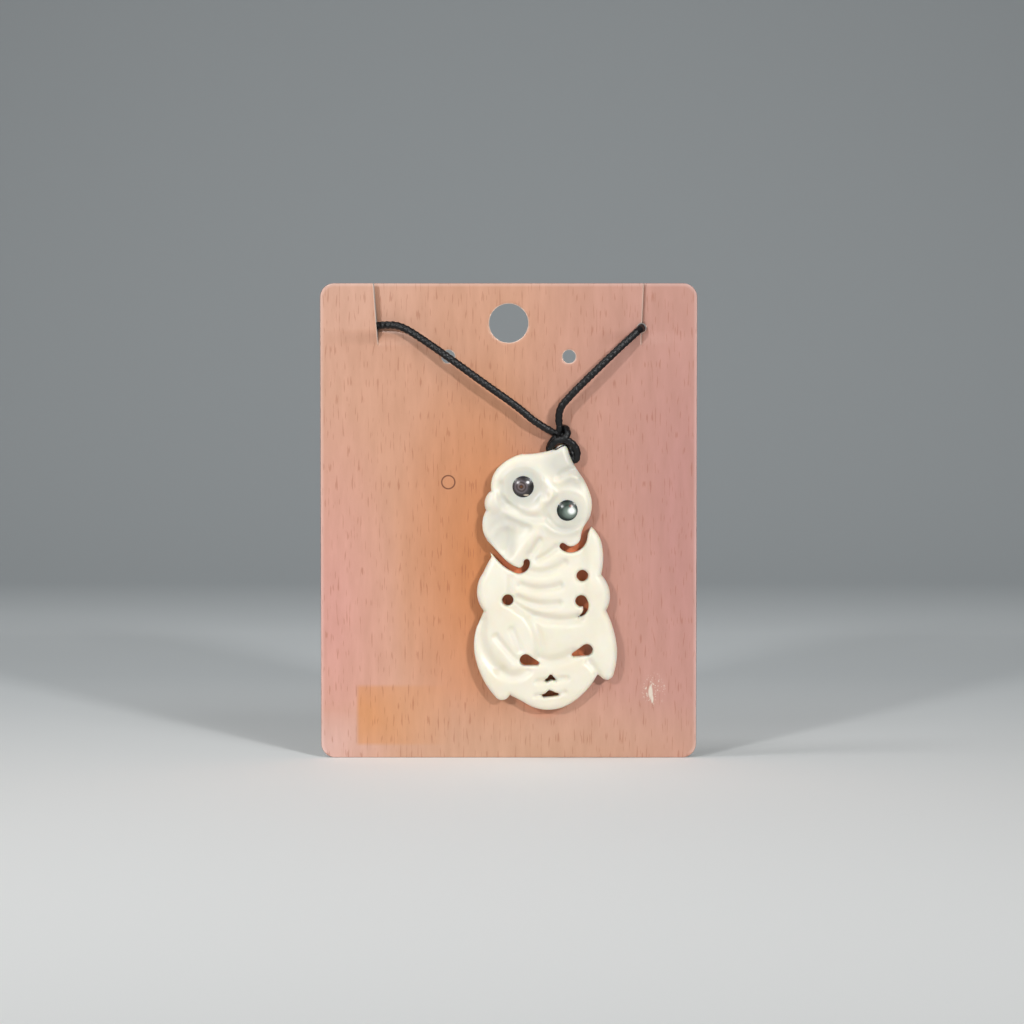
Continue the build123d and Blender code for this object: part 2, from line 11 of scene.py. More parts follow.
import bpy
import numpy as np
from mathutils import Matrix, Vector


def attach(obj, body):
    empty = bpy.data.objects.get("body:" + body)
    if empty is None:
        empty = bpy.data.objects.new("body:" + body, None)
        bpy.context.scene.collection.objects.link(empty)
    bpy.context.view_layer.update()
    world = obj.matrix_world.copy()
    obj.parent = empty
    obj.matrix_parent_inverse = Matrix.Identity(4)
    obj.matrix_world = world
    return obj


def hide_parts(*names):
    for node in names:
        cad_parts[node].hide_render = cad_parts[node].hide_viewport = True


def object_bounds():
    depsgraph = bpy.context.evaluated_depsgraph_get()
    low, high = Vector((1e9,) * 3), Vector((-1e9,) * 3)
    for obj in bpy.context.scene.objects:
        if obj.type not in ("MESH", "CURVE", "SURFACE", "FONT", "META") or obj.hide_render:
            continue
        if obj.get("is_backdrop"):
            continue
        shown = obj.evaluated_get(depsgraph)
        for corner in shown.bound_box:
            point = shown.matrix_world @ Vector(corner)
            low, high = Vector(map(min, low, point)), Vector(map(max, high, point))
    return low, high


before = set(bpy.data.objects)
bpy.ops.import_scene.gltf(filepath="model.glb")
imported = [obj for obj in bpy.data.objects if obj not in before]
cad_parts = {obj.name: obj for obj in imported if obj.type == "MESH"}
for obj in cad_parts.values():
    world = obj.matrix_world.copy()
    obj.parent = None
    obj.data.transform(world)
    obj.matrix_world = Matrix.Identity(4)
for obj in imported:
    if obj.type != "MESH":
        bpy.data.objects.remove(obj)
cad_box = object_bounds()
MM = 0.001
print("solids:", sorted(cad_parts))

# %% [markdown]
# ## Camera
# The picture was taken from straight in front and a little above, with a long lens, so the card's
# sides stay nearly parallel. The lens follows from how large a millimetre is in the picture.

# %% Camera
SENSOR = 36.0
PICTURE = 1024
CAMERA_DISTANCE = 800.0
PIXELS_PER_MM = 4.75
CAMERA_HEIGHT_ANGLE = math.radians(3.0)
AIM = (0.7, 0.0, -39.7)

camera_data = bpy.data.cameras.new("camera")
camera_data.sensor_width = SENSOR
camera_data.lens = SENSOR * PIXELS_PER_MM * CAMERA_DISTANCE / PICTURE
camera_data.clip_end = 20.0
camera = bpy.data.objects.new("camera", camera_data)
camera.location = (
    AIM[0] * MM,
    (AIM[1] - CAMERA_DISTANCE * math.cos(CAMERA_HEIGHT_ANGLE)) * MM,
    (AIM[2] + CAMERA_DISTANCE * math.sin(CAMERA_HEIGHT_ANGLE)) * MM,
)
camera.rotation_euler = (math.pi / 2 - CAMERA_HEIGHT_ANGLE, 0, 0)
bpy.context.scene.collection.objects.link(camera)
bpy.context.scene.camera = camera
print("lens", round(camera_data.lens, 1), "mm")

# %% [markdown]
# ## Helpers for surfaces
# A surface on a grid is rows of points, each row joined to the next. `grid_faces` works out the
# corners of all its faces in one go, closed round if asked. `fan` closes a loop with one point in
# its middle. `new_object` puts whole arrays into a mesh that stands at the origin, as the measured
# solids do, and `new_piece` also lets it ride on the one rigid body.

# %% Put arrays into a mesh
def new_object(name, points, faces, material):
    """One smooth mesh from an (n, 3) array in millimetres and lists of corners."""
    mesh = bpy.data.meshes.new(name)
    mesh.from_pydata((points * MM).tolist(), [], faces)
    mesh.polygons.foreach_set("use_smooth", np.ones(len(mesh.polygons), bool))
    mesh.materials.append(material)
    mesh.update()
    made = bpy.data.objects.new(name, mesh)
    bpy.context.scene.collection.objects.link(made)
    return made


def new_piece(name, points, faces, material):
    """A piece of the real object, which is all one rigid body."""
    piece = new_object(name, points, faces, material)
    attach(piece, "root")
    return piece


def grid_faces(rows, columns, closed):
    """Corners of the quads of a grid of points, row after row, joined round where it is closed."""
    across = np.arange(columns if closed else columns - 1)
    start = np.arange(rows - 1)[:, None] * columns
    a = start + across
    b = start + (across + 1) % columns
    return np.stack([a, b, b + columns, a + columns], axis=-1).reshape(-1, 4)


def fan(loop, middle):
    """Corners of the triangles between a closed loop of points and one middle point."""
    return np.stack([loop, np.roll(loop, -1), np.full(len(loop), middle)], axis=1).tolist()


def quarter(distance, radius):
    """Share of the height of a quarter round: sqrt(1 - (1 - t)^2), t from 0 at the edge to 1."""
    t = np.clip(distance / radius, 0, 1)
    return np.sqrt(1 - (1 - t) ** 2)


print("a grid of 3 by 4 points has", len(grid_faces(3, 4, False)), "faces")

# %% [markdown]
# ## Finishes
# Each finish is a small node tree. Colours vary in space through noise on Object coordinates, so
# the pattern is fixed to the piece. A value that is the same all over sits on the shader itself.
# The helper `node` adds one node and fills its sockets: a plain value is set, and the output of
# another node is linked. The other helpers are made from it.

# %% Node helpers
def rgb(red, green, blue):
    """A colour seen on a screen, 0 to 255, as the linear values that a shader wants."""
    values = np.array([red, green, blue]) / 255.0
    low = values / 12.92
    high = ((values + 0.055) / 1.055) ** 2.4
    return (*np.where(values <= 0.04045, low, high).tolist(), 1.0)


def finish(name, **settings):
    """A new material: its node tree, its shader, and a place to hang more nodes."""
    material = bpy.data.materials.new(name)
    material.use_nodes = True
    shader = material.node_tree.nodes["Principled BSDF"]
    for socket, value in settings.items():
        shader.inputs[socket.replace("_", " ")].default_value = value
    return material, material.node_tree, shader


def node(tree, kind, sockets=(), **settings):
    """One node with its settings, and its sockets filled with values or links."""
    made = tree.nodes.new(kind)
    for key, value in settings.items():
        setattr(made, key, value)
    for socket, value in dict(sockets).items():
        if isinstance(value, bpy.types.NodeSocket):
            tree.links.new(value, made.inputs[socket])
        else:
            made.inputs[socket].default_value = value
    return made


def object_place(tree, scale=(1, 1, 1), centre=(0, 0, 0)):
    """Object coordinates in millimetres, counted from a centre and stretched by a scale."""
    sockets = {
        "Vector": node(tree, "ShaderNodeTexCoord").outputs["Object"],
        "Scale": tuple(s / MM for s in scale),
        "Location": tuple(-c * s for c, s in zip(centre, scale)),
    }
    return node(tree, "ShaderNodeMapping", sockets).outputs["Vector"]


def noise(tree, vector, scale, detail=3.0, roughness=0.5):
    """Soft noise of a given number of lumps to each unit of its vector."""
    sockets = {"Vector": vector, "Scale": scale, "Detail": detail, "Roughness": roughness}
    return node(tree, "ShaderNodeTexNoise", sockets).outputs["Fac"]


def ramp(tree, value, *stops):
    """Colours at places from 0 to 1 along a value."""
    made = node(tree, "ShaderNodeValToRGB", {"Fac": value})
    elements = made.color_ramp.elements
    while len(elements) < len(stops):
        elements.new(0.5)
    for element, (position, colour) in zip(elements, stops):
        element.position = position
        element.color = colour
    return made.outputs["Color"]


def math_node(tree, operation, *values):
    """One sum on values or sockets."""
    return node(tree, "ShaderNodeMath", enumerate(values), operation=operation).outputs["Value"]


def blend(tree, factor, first, second, mode="MIX"):
    """Two colours mixed by a factor from 0 to 1."""
    sockets = {0: factor, 6: first, 7: second}
    return node(tree, "ShaderNodeMix", sockets, data_type="RGBA", blend_type=mode).outputs[2]


def bump(tree, shader, height, strength, distance_mm):
    """Small relief in the shading from a height."""
    sockets = {"Height": height, "Strength": strength, "Distance": distance_mm * MM}
    made = node(tree, "ShaderNodeBump", sockets)
    tree.links.new(made.outputs["Normal"], shader.inputs["Normal"])


print("a screen's middle grey, 128, is", round(rgb(128, 128, 128)[0], 3), "in linear values")


# %% [markdown]
# ## The cord
# The real cord is a black waxed braid, 1.8 mm thick. Its two legs leave the knot above the
# pendant, pass through the slits and hang behind the card in one plain loop. A smooth spline is
# laid along each leg's route, and a round profile is then carried along it, with the small lumps
# of the braid worked into its radius.

# %% Waxed braid
def waxed_braid():
    """Black thread under wax, nearly even in tone, with a fine roughness."""
    material, tree, shader = finish("waxed_braid", Roughness=0.36, Specular_IOR_Level=0.35)
    place = object_place(tree)
    tone = ramp(tree, noise(tree, place, 1.6), (0.3, rgb(4, 4, 5)), (0.75, rgb(16, 15, 17)))
    tree.links.new(tone, shader.inputs["Base Color"])
    bump(tree, shader, noise(tree, place, 6.0), 0.5, 0.08)
    return material


braid_finish = waxed_braid()
print("finish of the cord:", braid_finish.name)

# %% Routes of the two legs
CORD = 1.8
LEFT_ROUTE = [
    (9.20, -3.20, -22.75), (5.87, -3.80, -21.00), (1.90, -4.10, -17.45),
    (-4.60, -4.10, -12.95), (-12.00, -3.70, -7.55), (-17.80, -2.80, -3.50),
    (-22.40, -1.80, -0.55), (-25.70, -1.12, -0.30), (-30.20, 1.30, -0.90),
    (-33.60, 2.75, -4.20), (-34.95, 3.20, -12.50), (-34.95, 3.20, -27.00),
    (-35.35, 3.20, -44.00), (-33.30, 3.20, -60.40), (-24.90, 3.20, -74.80),
    (-10.80, 3.20, -83.25), (7.00, 3.20, -83.25), (21.10, 3.20, -74.80),
    (29.50, 3.20, -60.40), (31.45, 3.20, -44.00), (31.05, 3.20, -33.00),
    (31.05, 3.20, -24.00),
]
RIGHT_ROUTE = [
    (10.63, -3.20, -21.40), (10.10, -4.10, -18.30), (13.20, -4.40, -14.75),
    (19.10, -4.30, -9.00), (23.90, -3.50, -4.45), (27.90, -2.40, -0.90),
    (27.85, 1.60, -1.00), (28.60, 2.90, -6.60), (28.95, 3.20, -12.50),
    (28.95, 3.20, -27.00), (29.35, 3.20, -44.00), (27.70, 3.20, -59.60),
    (19.70, 3.20, -73.20), (6.40, 3.20, -81.15), (-10.20, 3.20, -81.15),
    (-23.50, 3.20, -73.20), (-31.30, 3.20, -59.60), (-33.25, 3.20, -44.00),
    (-32.85, 3.20, -33.00), (-32.85, 3.20, -24.00),
]


def smooth_route(name, points):
    """Points along a NURBS spline with the given control points, in millimetres."""
    data = bpy.data.curves.new(name, "CURVE")
    data.dimensions = "3D"
    spline = data.splines.new("NURBS")
    spline.points.add(len(points) - 1)
    spline.points.foreach_set("co", np.ravel([(x * MM, y * MM, z * MM, 1) for x, y, z in points]))
    spline.order_u = 3
    spline.use_endpoint_u = True
    spline.resolution_u = 24
    guide = bpy.data.objects.new(name, data)
    mesh = bpy.data.meshes.new_from_object(guide)
    line = np.empty(3 * len(mesh.vertices))
    mesh.vertices.foreach_get("co", line)
    bpy.data.objects.remove(guide)
    bpy.data.meshes.remove(mesh)
    return line.reshape(-1, 3) / MM


def even_steps(line, step):
    """The same line with points a fixed step apart, and how far along it each one lies."""
    run = np.linalg.norm(np.diff(line, axis=0), axis=1)
    along = np.concatenate([[0], np.cumsum(run)])
    wanted = np.linspace(0, along[-1], max(4, round(along[-1] / step)))
    return np.stack([np.interp(wanted, along, line[:, i]) for i in range(3)], axis=1), wanted


def carried_frame(line):
    """Tangent and two side directions at each point, turned as little as possible on the way."""
    tangent = np.gradient(line, axis=0)
    tangent /= np.linalg.norm(tangent, axis=1)[:, None]
    upright = abs(tangent[0][2]) > 0.9
    start = np.cross(tangent[0], (1.0, 0.0, 0.0) if upright else (0.0, 0.0, 1.0))
    side = np.empty_like(line)
    side[0] = start / np.linalg.norm(start)
    for i in range(1, len(line)):
        turned = side[i - 1] - tangent[i] * np.dot(side[i - 1], tangent[i])
        side[i] = turned / np.linalg.norm(turned)
    return tangent, side, np.cross(tangent, side)


# %% [markdown]
# ## The braid along its route
# The braid is a tube whose radius swells and sinks. Its round profile is carried along the route
# without a twist, so that the lumps keep an even slant.

# %% Braid along the routes
BRAID_STEP = 0.24
BRAID_SIDES = 20
BRAID_LUMP = 1.1
BRAID_DEPTH = 0.10
BRAID_END = 0.35


def braided_tube(name, line, diameter):
    """A round profile carried along a line: centre + r (cos a side + sin a up).

    The radius r swells where two families of ridges cross, one winding each way: it follows
    sin(2 a + k s) sin(2 a - k s), with a the angle round and s the length along. Both ends are
    drawn in as a quarter round, which starts a share BRAID_END along it, and closed with a point.
    """
    line, along = even_steps(line, BRAID_STEP)
    tangent, side, up = carried_frame(line)
    angle = np.linspace(0, 2 * np.pi, BRAID_SIDES, endpoint=False)
    turn = np.pi * along / BRAID_LUMP
    lumps = np.sin(2 * angle + turn[:, None]) * np.sin(2 * angle - turn[:, None])
    radius = diameter / 2 * (1 - BRAID_DEPTH + BRAID_DEPTH * lumps)
    from_end = np.minimum(along, along[-1] - along) / (diameter / 2)
    radius *= quarter(from_end + BRAID_END, 1)[:, None]
    cosine, sine = np.cos(angle)[:, None], np.sin(angle)[:, None]
    spoke = cosine * side[:, None] + sine * up[:, None]
    points = (line[:, None] + radius[..., None] * spoke).reshape(-1, 3)
    faces = grid_faces(len(line), BRAID_SIDES, True)[:, ::-1].tolist()
    around = np.arange(BRAID_SIDES)
    top = (len(line) - 1) * BRAID_SIDES
    faces += fan(around[::-1], len(points)) + fan(top + around, len(points) + 1)
    return new_piece(name, np.vstack([points, line[0], line[-1]]), faces, braid_finish)


left_line = smooth_route("left_guide", LEFT_ROUTE)
right_line = smooth_route("right_guide", RIGHT_ROUTE)
cord_left = braided_tube("braid_left", left_line, CORD)
cord_right = braided_tube("braid_right", right_line, CORD)


def length_of(line):
    """Length of a line in mm, as the sum of its short straight pieces."""
    return float(np.linalg.norm(np.diff(line, axis=0), axis=1).sum())


for leg, line in (("left", left_line), ("right", right_line)):
    print(leg, "leg", round(length_of(line), 1), "mm")

# %% [markdown]
# ## The knot over the pendant
# A bight of the cord goes through the hole at the top of the bone, up over the front of the two
# legs and down the other side. Each strand is its own smooth spline, in the order that it was
# tied, and all strands of the knot are joined into one piece. One fine thread has worked loose
# from the braid and lies across the bone.

# %% Join strands
def joined(name, pieces):
    """Several meshes as one, without the selection tools: their arrays are stacked."""
    points, faces, offset = [], [], 0
    material = pieces[0].data.materials[0]
    for piece in pieces:
        mesh = piece.data
        flat = np.empty(3 * len(mesh.vertices))
        mesh.vertices.foreach_get("co", flat)
        points.append(flat.reshape(-1, 3) / MM)
        faces += [[offset + corner for corner in polygon.vertices] for polygon in mesh.polygons]
        offset += len(mesh.vertices)
        bpy.data.objects.remove(piece)
    return new_piece(name, np.vstack(points), faces, material)


# %% Hitch
STRAND = 1.66
THREAD = 0.36
STRANDS = {
    # through the bone and back up on the right, then over the front of the two legs
    "bight": [
        (10.20, -3.70, -23.60), (9.30, -3.30, -24.40), (8.70, -3.00, -25.50),
        (8.40, -2.75, -26.50), (10.20, -2.70, -26.90), (12.90, -2.70, -28.15),
        (14.05, -2.75, -28.90), (14.40, -3.05, -27.70), (14.35, -3.35, -26.50),
        (13.55, -3.65, -25.25), (12.40, -3.85, -24.45), (11.20, -3.95, -24.30),
        (10.00, -3.70, -24.35),
    ],
    # second turn, close beside the bone
    "twin": [
        (11.00, -2.40, -23.90), (12.20, -2.30, -25.00), (13.20, -2.40, -26.15),
        (13.75, -2.55, -27.50), (13.95, -2.70, -28.85), (13.20, -2.70, -28.50),
    ],
    # crest over both legs
    "crest": [
        (10.50, -1.90, -22.70), (11.20, -2.00, -21.85), (11.95, -2.80, -21.95),
        (12.40, -3.60, -22.95), (12.00, -4.05, -23.90), (10.90, -4.15, -24.35),
        (9.80, -3.95, -24.60), (9.00, -3.60, -25.40), (8.55, -3.20, -26.20),
    ],
    # turn behind the legs
    "behind": [
        (9.20, -1.95, -23.60), (10.40, -1.75, -24.20), (11.80, -1.75, -24.30),
        (13.00, -1.95, -25.30),
    ],
    "left leg inside the knot": [
        (9.00, -3.15, -22.65), (10.00, -2.60, -23.10), (11.20, -2.40, -23.40),
        (12.20, -2.30, -23.90),
    ],
    "right leg inside the knot": [
        (10.60, -3.15, -21.20), (10.70, -2.90, -22.30), (10.40, -2.60, -23.40),
        (10.90, -2.20, -24.40),
    ],
}
LOOSE_THREAD = [
    (8.70, -3.30, -26.90), (9.60, -3.95, -26.55), (10.70, -4.10, -26.00),
    (11.60, -4.00, -25.45), (12.10, -3.70, -25.10),
]
strands = [
    braided_tube(name, smooth_route(name, route), STRAND)
    for name, route in STRANDS.items()
]
strands.append(braided_tube("loose_thread", smooth_route("loose_thread", LOOSE_THREAD), THREAD))
hitch = joined("hitch", strands)
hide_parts("hitch_knot")
print("hitch of", len(strands), "strands")

# %% [markdown]
# ## The sliding knots
# Behind the card each end of the cord is wound round the other leg, so that the necklace can be
# drawn longer or shorter. A winding is an oval helix: round the oval once for each turn, and up by
# about one strand's thickness.

# %% Sliding knots
SLIDE_FOOT = -23.9
SLIDE_LENGTH = 8.0
SLIDE_WIDTH = 7.2
SLIDE_DEPTH = 5.4
SLIDE_TURNS = 4
SLIDE_MIDDLES = {"slide_knot_left": -33.9, "slide_knot_right": 30.0}
SLIDE_STEPS = 60
CORD_DEPTH = 3.2


def winding(name, middle):
    """A braid along x = middle + a cos t, y = depth - b sin t, with z rising evenly."""
    turn = np.linspace(0, 2 * np.pi * SLIDE_TURNS, SLIDE_STEPS * SLIDE_TURNS)
    x = middle + (SLIDE_WIDTH - STRAND) / 2 * np.cos(turn)
    y = CORD_DEPTH - (SLIDE_DEPTH - STRAND) / 2 * np.sin(turn)
    z = np.linspace(SLIDE_FOOT + STRAND / 2, SLIDE_FOOT + SLIDE_LENGTH - STRAND / 2, len(turn))
    return braided_tube(name, np.stack([x, y, z], axis=1), STRAND)


slides = {}
for slide_name, slide_middle in SLIDE_MIDDLES.items():
    slides[slide_name] = winding("wound_" + slide_name, slide_middle)
    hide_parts(slide_name)

for cord_piece, cord_line, solid, knots in (
    (cord_left, left_line, "cord_left", [hitch, slides["slide_knot_right"]]),
    (cord_right, right_line, "cord_right", [slides["slide_knot_left"]]),
):
    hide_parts(solid)
print("sliding knots:", sorted(slides))

# %% [markdown]
# ## The outline of the pendant
# The bone is sawn from a flat plate, so its outline and its piercings are drawn first, as arcs
# through three points. Distances to that drawing then steer everything else: where there is bone,
# how the edges round off, and where the carving starts.

# %% Drawing of the pendant
TIKI_WIDTH = 30.1
TIKI_HEIGHT = 55.8
TIKI_THICKNESS = 5.0
TIKI_MIDDLE = 7.75
TIKI_TOP = -25.35
TIKI_LEFT = TIKI_MIDDLE - TIKI_WIDTH / 2
TIKI_BOTTOM = TIKI_TOP - TIKI_HEIGHT
TIKI_BACK = -0.6

OUTLINE_START = (0.573, 0.985)
OUTLINE = [
    # name, halfway u, halfway v, end u, end v
    ("nub", 0.617, 0.999, 0.655, 0.980),
    ("brow, right", 0.685, 0.937, 0.731, 0.895),
    ("temple, right", 0.787, 0.846, 0.818, 0.799),
    ("cheek, right", 0.821, 0.758, 0.799, 0.717),
    ("mouth of the right slot", None, None, 0.822, 0.688),
    ("right arm tip", 0.871, 0.655, 0.897, 0.607),
    ("right upper arm", 0.901, 0.560, 0.887, 0.509),
    ("right forearm", 0.947, 0.446, 0.922, 0.375),
    ("right leg, outside", 0.973, 0.305, 0.999, 0.233),
    ("right leg, lower", 0.997, 0.192, 0.976, 0.139),
    ("right foot", 0.936, 0.114, 0.885, 0.126),
    ("right foot notch", None, None, 0.862, 0.134),
    ("jaw of the lower face, right", 0.787, 0.075, 0.678, 0.025),
    ("chin of the lower face", 0.514, 0.000, 0.350, 0.028),
    ("jaw of the lower face, left", None, None, 0.250, 0.057),
    ("left foot", 0.200, 0.037, 0.159, 0.044),
    ("left leg, lower", 0.076, 0.103, 0.019, 0.178),
    ("left leg, outside", 0.000, 0.248, 0.020, 0.312),
    ("left hip", 0.048, 0.345, 0.069, 0.373),
    ("left forearm", 0.021, 0.443, 0.062, 0.514),
    ("left arm tip", 0.090, 0.545, 0.124, 0.577),
    ("mouth of the left slot", None, None, 0.087, 0.645),
    ("jaw, left", 0.059, 0.694, 0.086, 0.752),
    ("cheek curl, left", 0.075, 0.784, 0.121, 0.825),
    ("temple, left", 0.126, 0.871, 0.164, 0.909),
    ("crown", 0.238, 0.942, 0.336, 0.963),
    ("top of the head", 0.448, 0.967, 0.573, 0.985),
]
SLOTS = [
    # width, start, then halfway and end of each arc along its middle line
    (1.40, (0.817, 0.709), [(0.783, 0.681, 0.769, 0.654), (0.745, 0.622, 0.696, 0.606),
                            (0.655, 0.606, 0.620, 0.617)]),
    (1.32, (0.059, 0.639), [(0.121, 0.606, 0.182, 0.570), (0.232, 0.546, 0.297, 0.527),
                            (0.354, 0.534, 0.368, 0.557)]),
]
ROUND_HOLES = [
    # name, u, v, diameter
    ("left arm hole", 0.236, 0.415, 2.38),
    ("right arm hole", 0.756, 0.506, 2.44),
    ("comma head", 0.748, 0.411, 2.48),
]
TAPERED_HOLES = [
    # name, wide end u, v, diameter, narrow end u, v, diameter
    ("left lower eye", 0.361, 0.189, 2.50, 0.441, 0.176, 0.90),
    ("right lower eye", 0.787, 0.226, 2.55, 0.696, 0.208, 0.84),
]
COMMA_TAIL = [
    # outer arc: start, halfway, end
    (0.778, 0.424),
    (0.801, 0.394),
    (0.728, 0.3485),
    # inner arc: start, halfway, end
    (0.727, 0.3535),
    (0.757, 0.370),
    (0.760, 0.392),
]
CUT_SHAPES = [
    ("nose", [
        (0.528, 0.134), (0.543, 0.134), (0.560, 0.123), (0.578, 0.111), (0.570, 0.109),
        (0.542, 0.113), (0.511, 0.105), (0.493, 0.109), (0.497, 0.115), (0.515, 0.123),
    ]),
    ("mouth", [
        (0.526, 0.076), (0.545, 0.073), (0.568, 0.067), (0.591, 0.063), (0.593, 0.054),
        (0.542, 0.050), (0.486, 0.047), (0.468, 0.057), (0.499, 0.064), (0.513, 0.072),
    ]),
]
print("pendant", TIKI_WIDTH, "by", TIKI_HEIGHT, "mm, outline of", len(OUTLINE), "arcs and lines")

# %% [markdown]
# ## Distances to the drawing
# Places on the pendant are shares of its width and height. The arcs become chains of short
# straight pieces, and the distance from a chain is worked out for all places at once.

# %% Arcs and distances
def spot(u, v):
    """A place from its shares of the pendant's width and height, as (x, z) in millimetres."""
    return (TIKI_LEFT + u * TIKI_WIDTH, TIKI_BOTTOM + v * TIKI_HEIGHT)


def arc(start, middle, end, count=12):
    """Points along the circle through three points, without the first."""
    start, middle, end = (complex(*p) for p in (start, middle, end))
    w = (end - start) / (middle - start)
    centre = (middle - start) * (w - abs(w) ** 2) / (w - w.conjugate()) + start
    first, last = start - centre, end - centre
    turn = np.angle(last / first) % (2 * np.pi)
    turn -= 2 * np.pi if np.angle((middle - centre) / first) % (2 * np.pi) > turn else 0
    points = centre + first * np.exp(1j * turn * np.arange(1, count + 1) / count)
    return [(float(p.real), float(p.imag)) for p in points]


def chain(start, rows):
    """Points along a chain of arcs and straight lines given as shares."""
    points = [spot(*start)]
    for middle_u, middle_v, end_u, end_v in rows:
        if middle_u is None:
            points.append(spot(end_u, end_v))
        else:
            points += arc(points[-1], spot(middle_u, middle_v), spot(end_u, end_v))
    return points


def segment_distance(x, z, points):
    """Distance of many places from a chain of straight pieces."""
    best = np.full(x.shape, 1e9)
    for (ax, az), (bx, bz) in zip(points[:-1], points[1:]):
        dx, dz = bx - ax, bz - az
        t = np.clip(((x - ax) * dx + (z - az) * dz) / (dx * dx + dz * dz + 1e-12), 0, 1)
        best = np.minimum(best, (x - ax - t * dx) ** 2 + (z - az - t * dz) ** 2)
    return np.sqrt(best)


def signed_distance(x, z, points):
    """Distance from a closed outline, above 0 inside it and below 0 outside."""
    inside = np.zeros(x.shape, bool)
    for (ax, az), (bx, bz) in zip(points, points[1:] + points[:1]):
        if az != bz:
            inside ^= ((az > z) != (bz > z)) & (x < (bx - ax) * (z - az) / (bz - az) + ax)
    return np.where(inside, 1, -1) * segment_distance(x, z, points + points[:1])


def tapered_distance(x, z, u0, v0, size0, u1, v1, size1):
    """Distance outside a drop shape: two circles of different sizes and what lies between them."""
    (ax, az), (bx, bz) = spot(u0, v0), spot(u1, v1)
    length = math.hypot(bx - ax, bz - az)
    along = ((x - ax) * (bx - ax) + (z - az) * (bz - az)) / length
    off = np.abs((x - ax) * (bz - az) - (z - az) * (bx - ax)) / length
    slope = (size0 - size1) / 2 / length
    cosine = math.sqrt(1 - slope * slope)
    t = np.clip((along - off * slope / cosine) / length, 0, 1)
    return np.hypot(along - t * length, off) - (size0 + t * (size1 - size0)) / 2


outline_points = chain(OUTLINE_START, [row[1:] for row in OUTLINE])
slot_lines = [(width / 2, chain(start, rows)) for width, start, rows in SLOTS]
tail = [spot(*place) for place in COMMA_TAIL]
tail_points = tail[:1] + arc(*tail[:3]) + tail[3:4] + arc(*tail[3:])
cut_points = [[spot(*corner) for corner in corners] for _, corners in CUT_SHAPES]


def piercing_distance(x, z):
    """Distance from the nearest cut through the plate, below 0 inside a cut."""
    found = [segment_distance(x, z, line) - half for half, line in slot_lines]
    for _, u, v, size in ROUND_HOLES:
        found.append(np.hypot(x - spot(u, v)[0], z - spot(u, v)[1]) - size / 2)
    found += [tapered_distance(x, z, *row[1:]) for row in TAPERED_HOLES]
    found += [-signed_distance(x, z, points) for points in [tail_points] + cut_points]
    return np.minimum.reduce(found)


def plate_distance(x, z):
    """Distance to the nearest edge of the sawn plate, above 0 where there is bone."""
    return np.minimum(signed_distance(x, z, outline_points[:-1]), piercing_distance(x, z))


print("outline of", len(outline_points), "points")

# %% [markdown]
# ## The carving
# The front is a height above the flat back. It starts level, each form of the figure adds one
# rounded mass, and each fold adds or takes away a soft line. At the outline the height falls off
# in a quarter round, and at the piercings in a smaller one.

# %% Forms and folds of the front
BASE_HEIGHT = 0.70
EYE_LEVEL = 0.80
MASSES = [
    # name, u, v, radius along, radius across, turn in degrees, height
    ("head", 0.49, 0.80, 0.36, 0.26, -28, 0.14),
    ("nub", 0.61, 0.95, 0.14, 0.12, -28, 0.06),
    ("cheek curl", 0.13, 0.785, 0.08, 0.07, 30, 0.12),
    ("chest", 0.52, 0.45, 0.26, 0.20, 0, 0.16),
    ("right arm", 0.86, 0.58, 0.10, 0.22, 0, 0.10),
    ("right forearm", 0.85, 0.44, 0.12, 0.14, 0, 0.13),
    ("left arm", 0.14, 0.46, 0.12, 0.20, 0, 0.12),
    ("left haunch", 0.23, 0.27, 0.20, 0.26, 20, 0.22),
    ("belly", 0.60, 0.29, 0.20, 0.18, 0, 0.17),
    ("right leg", 0.91, 0.24, 0.10, 0.28, 5, 0.14),
    ("left leg edge", 0.10, 0.12, 0.10, 0.12, 30, 0.05),
    ("lower face", 0.52, 0.10, 0.30, 0.17, 5, 0.14),
]
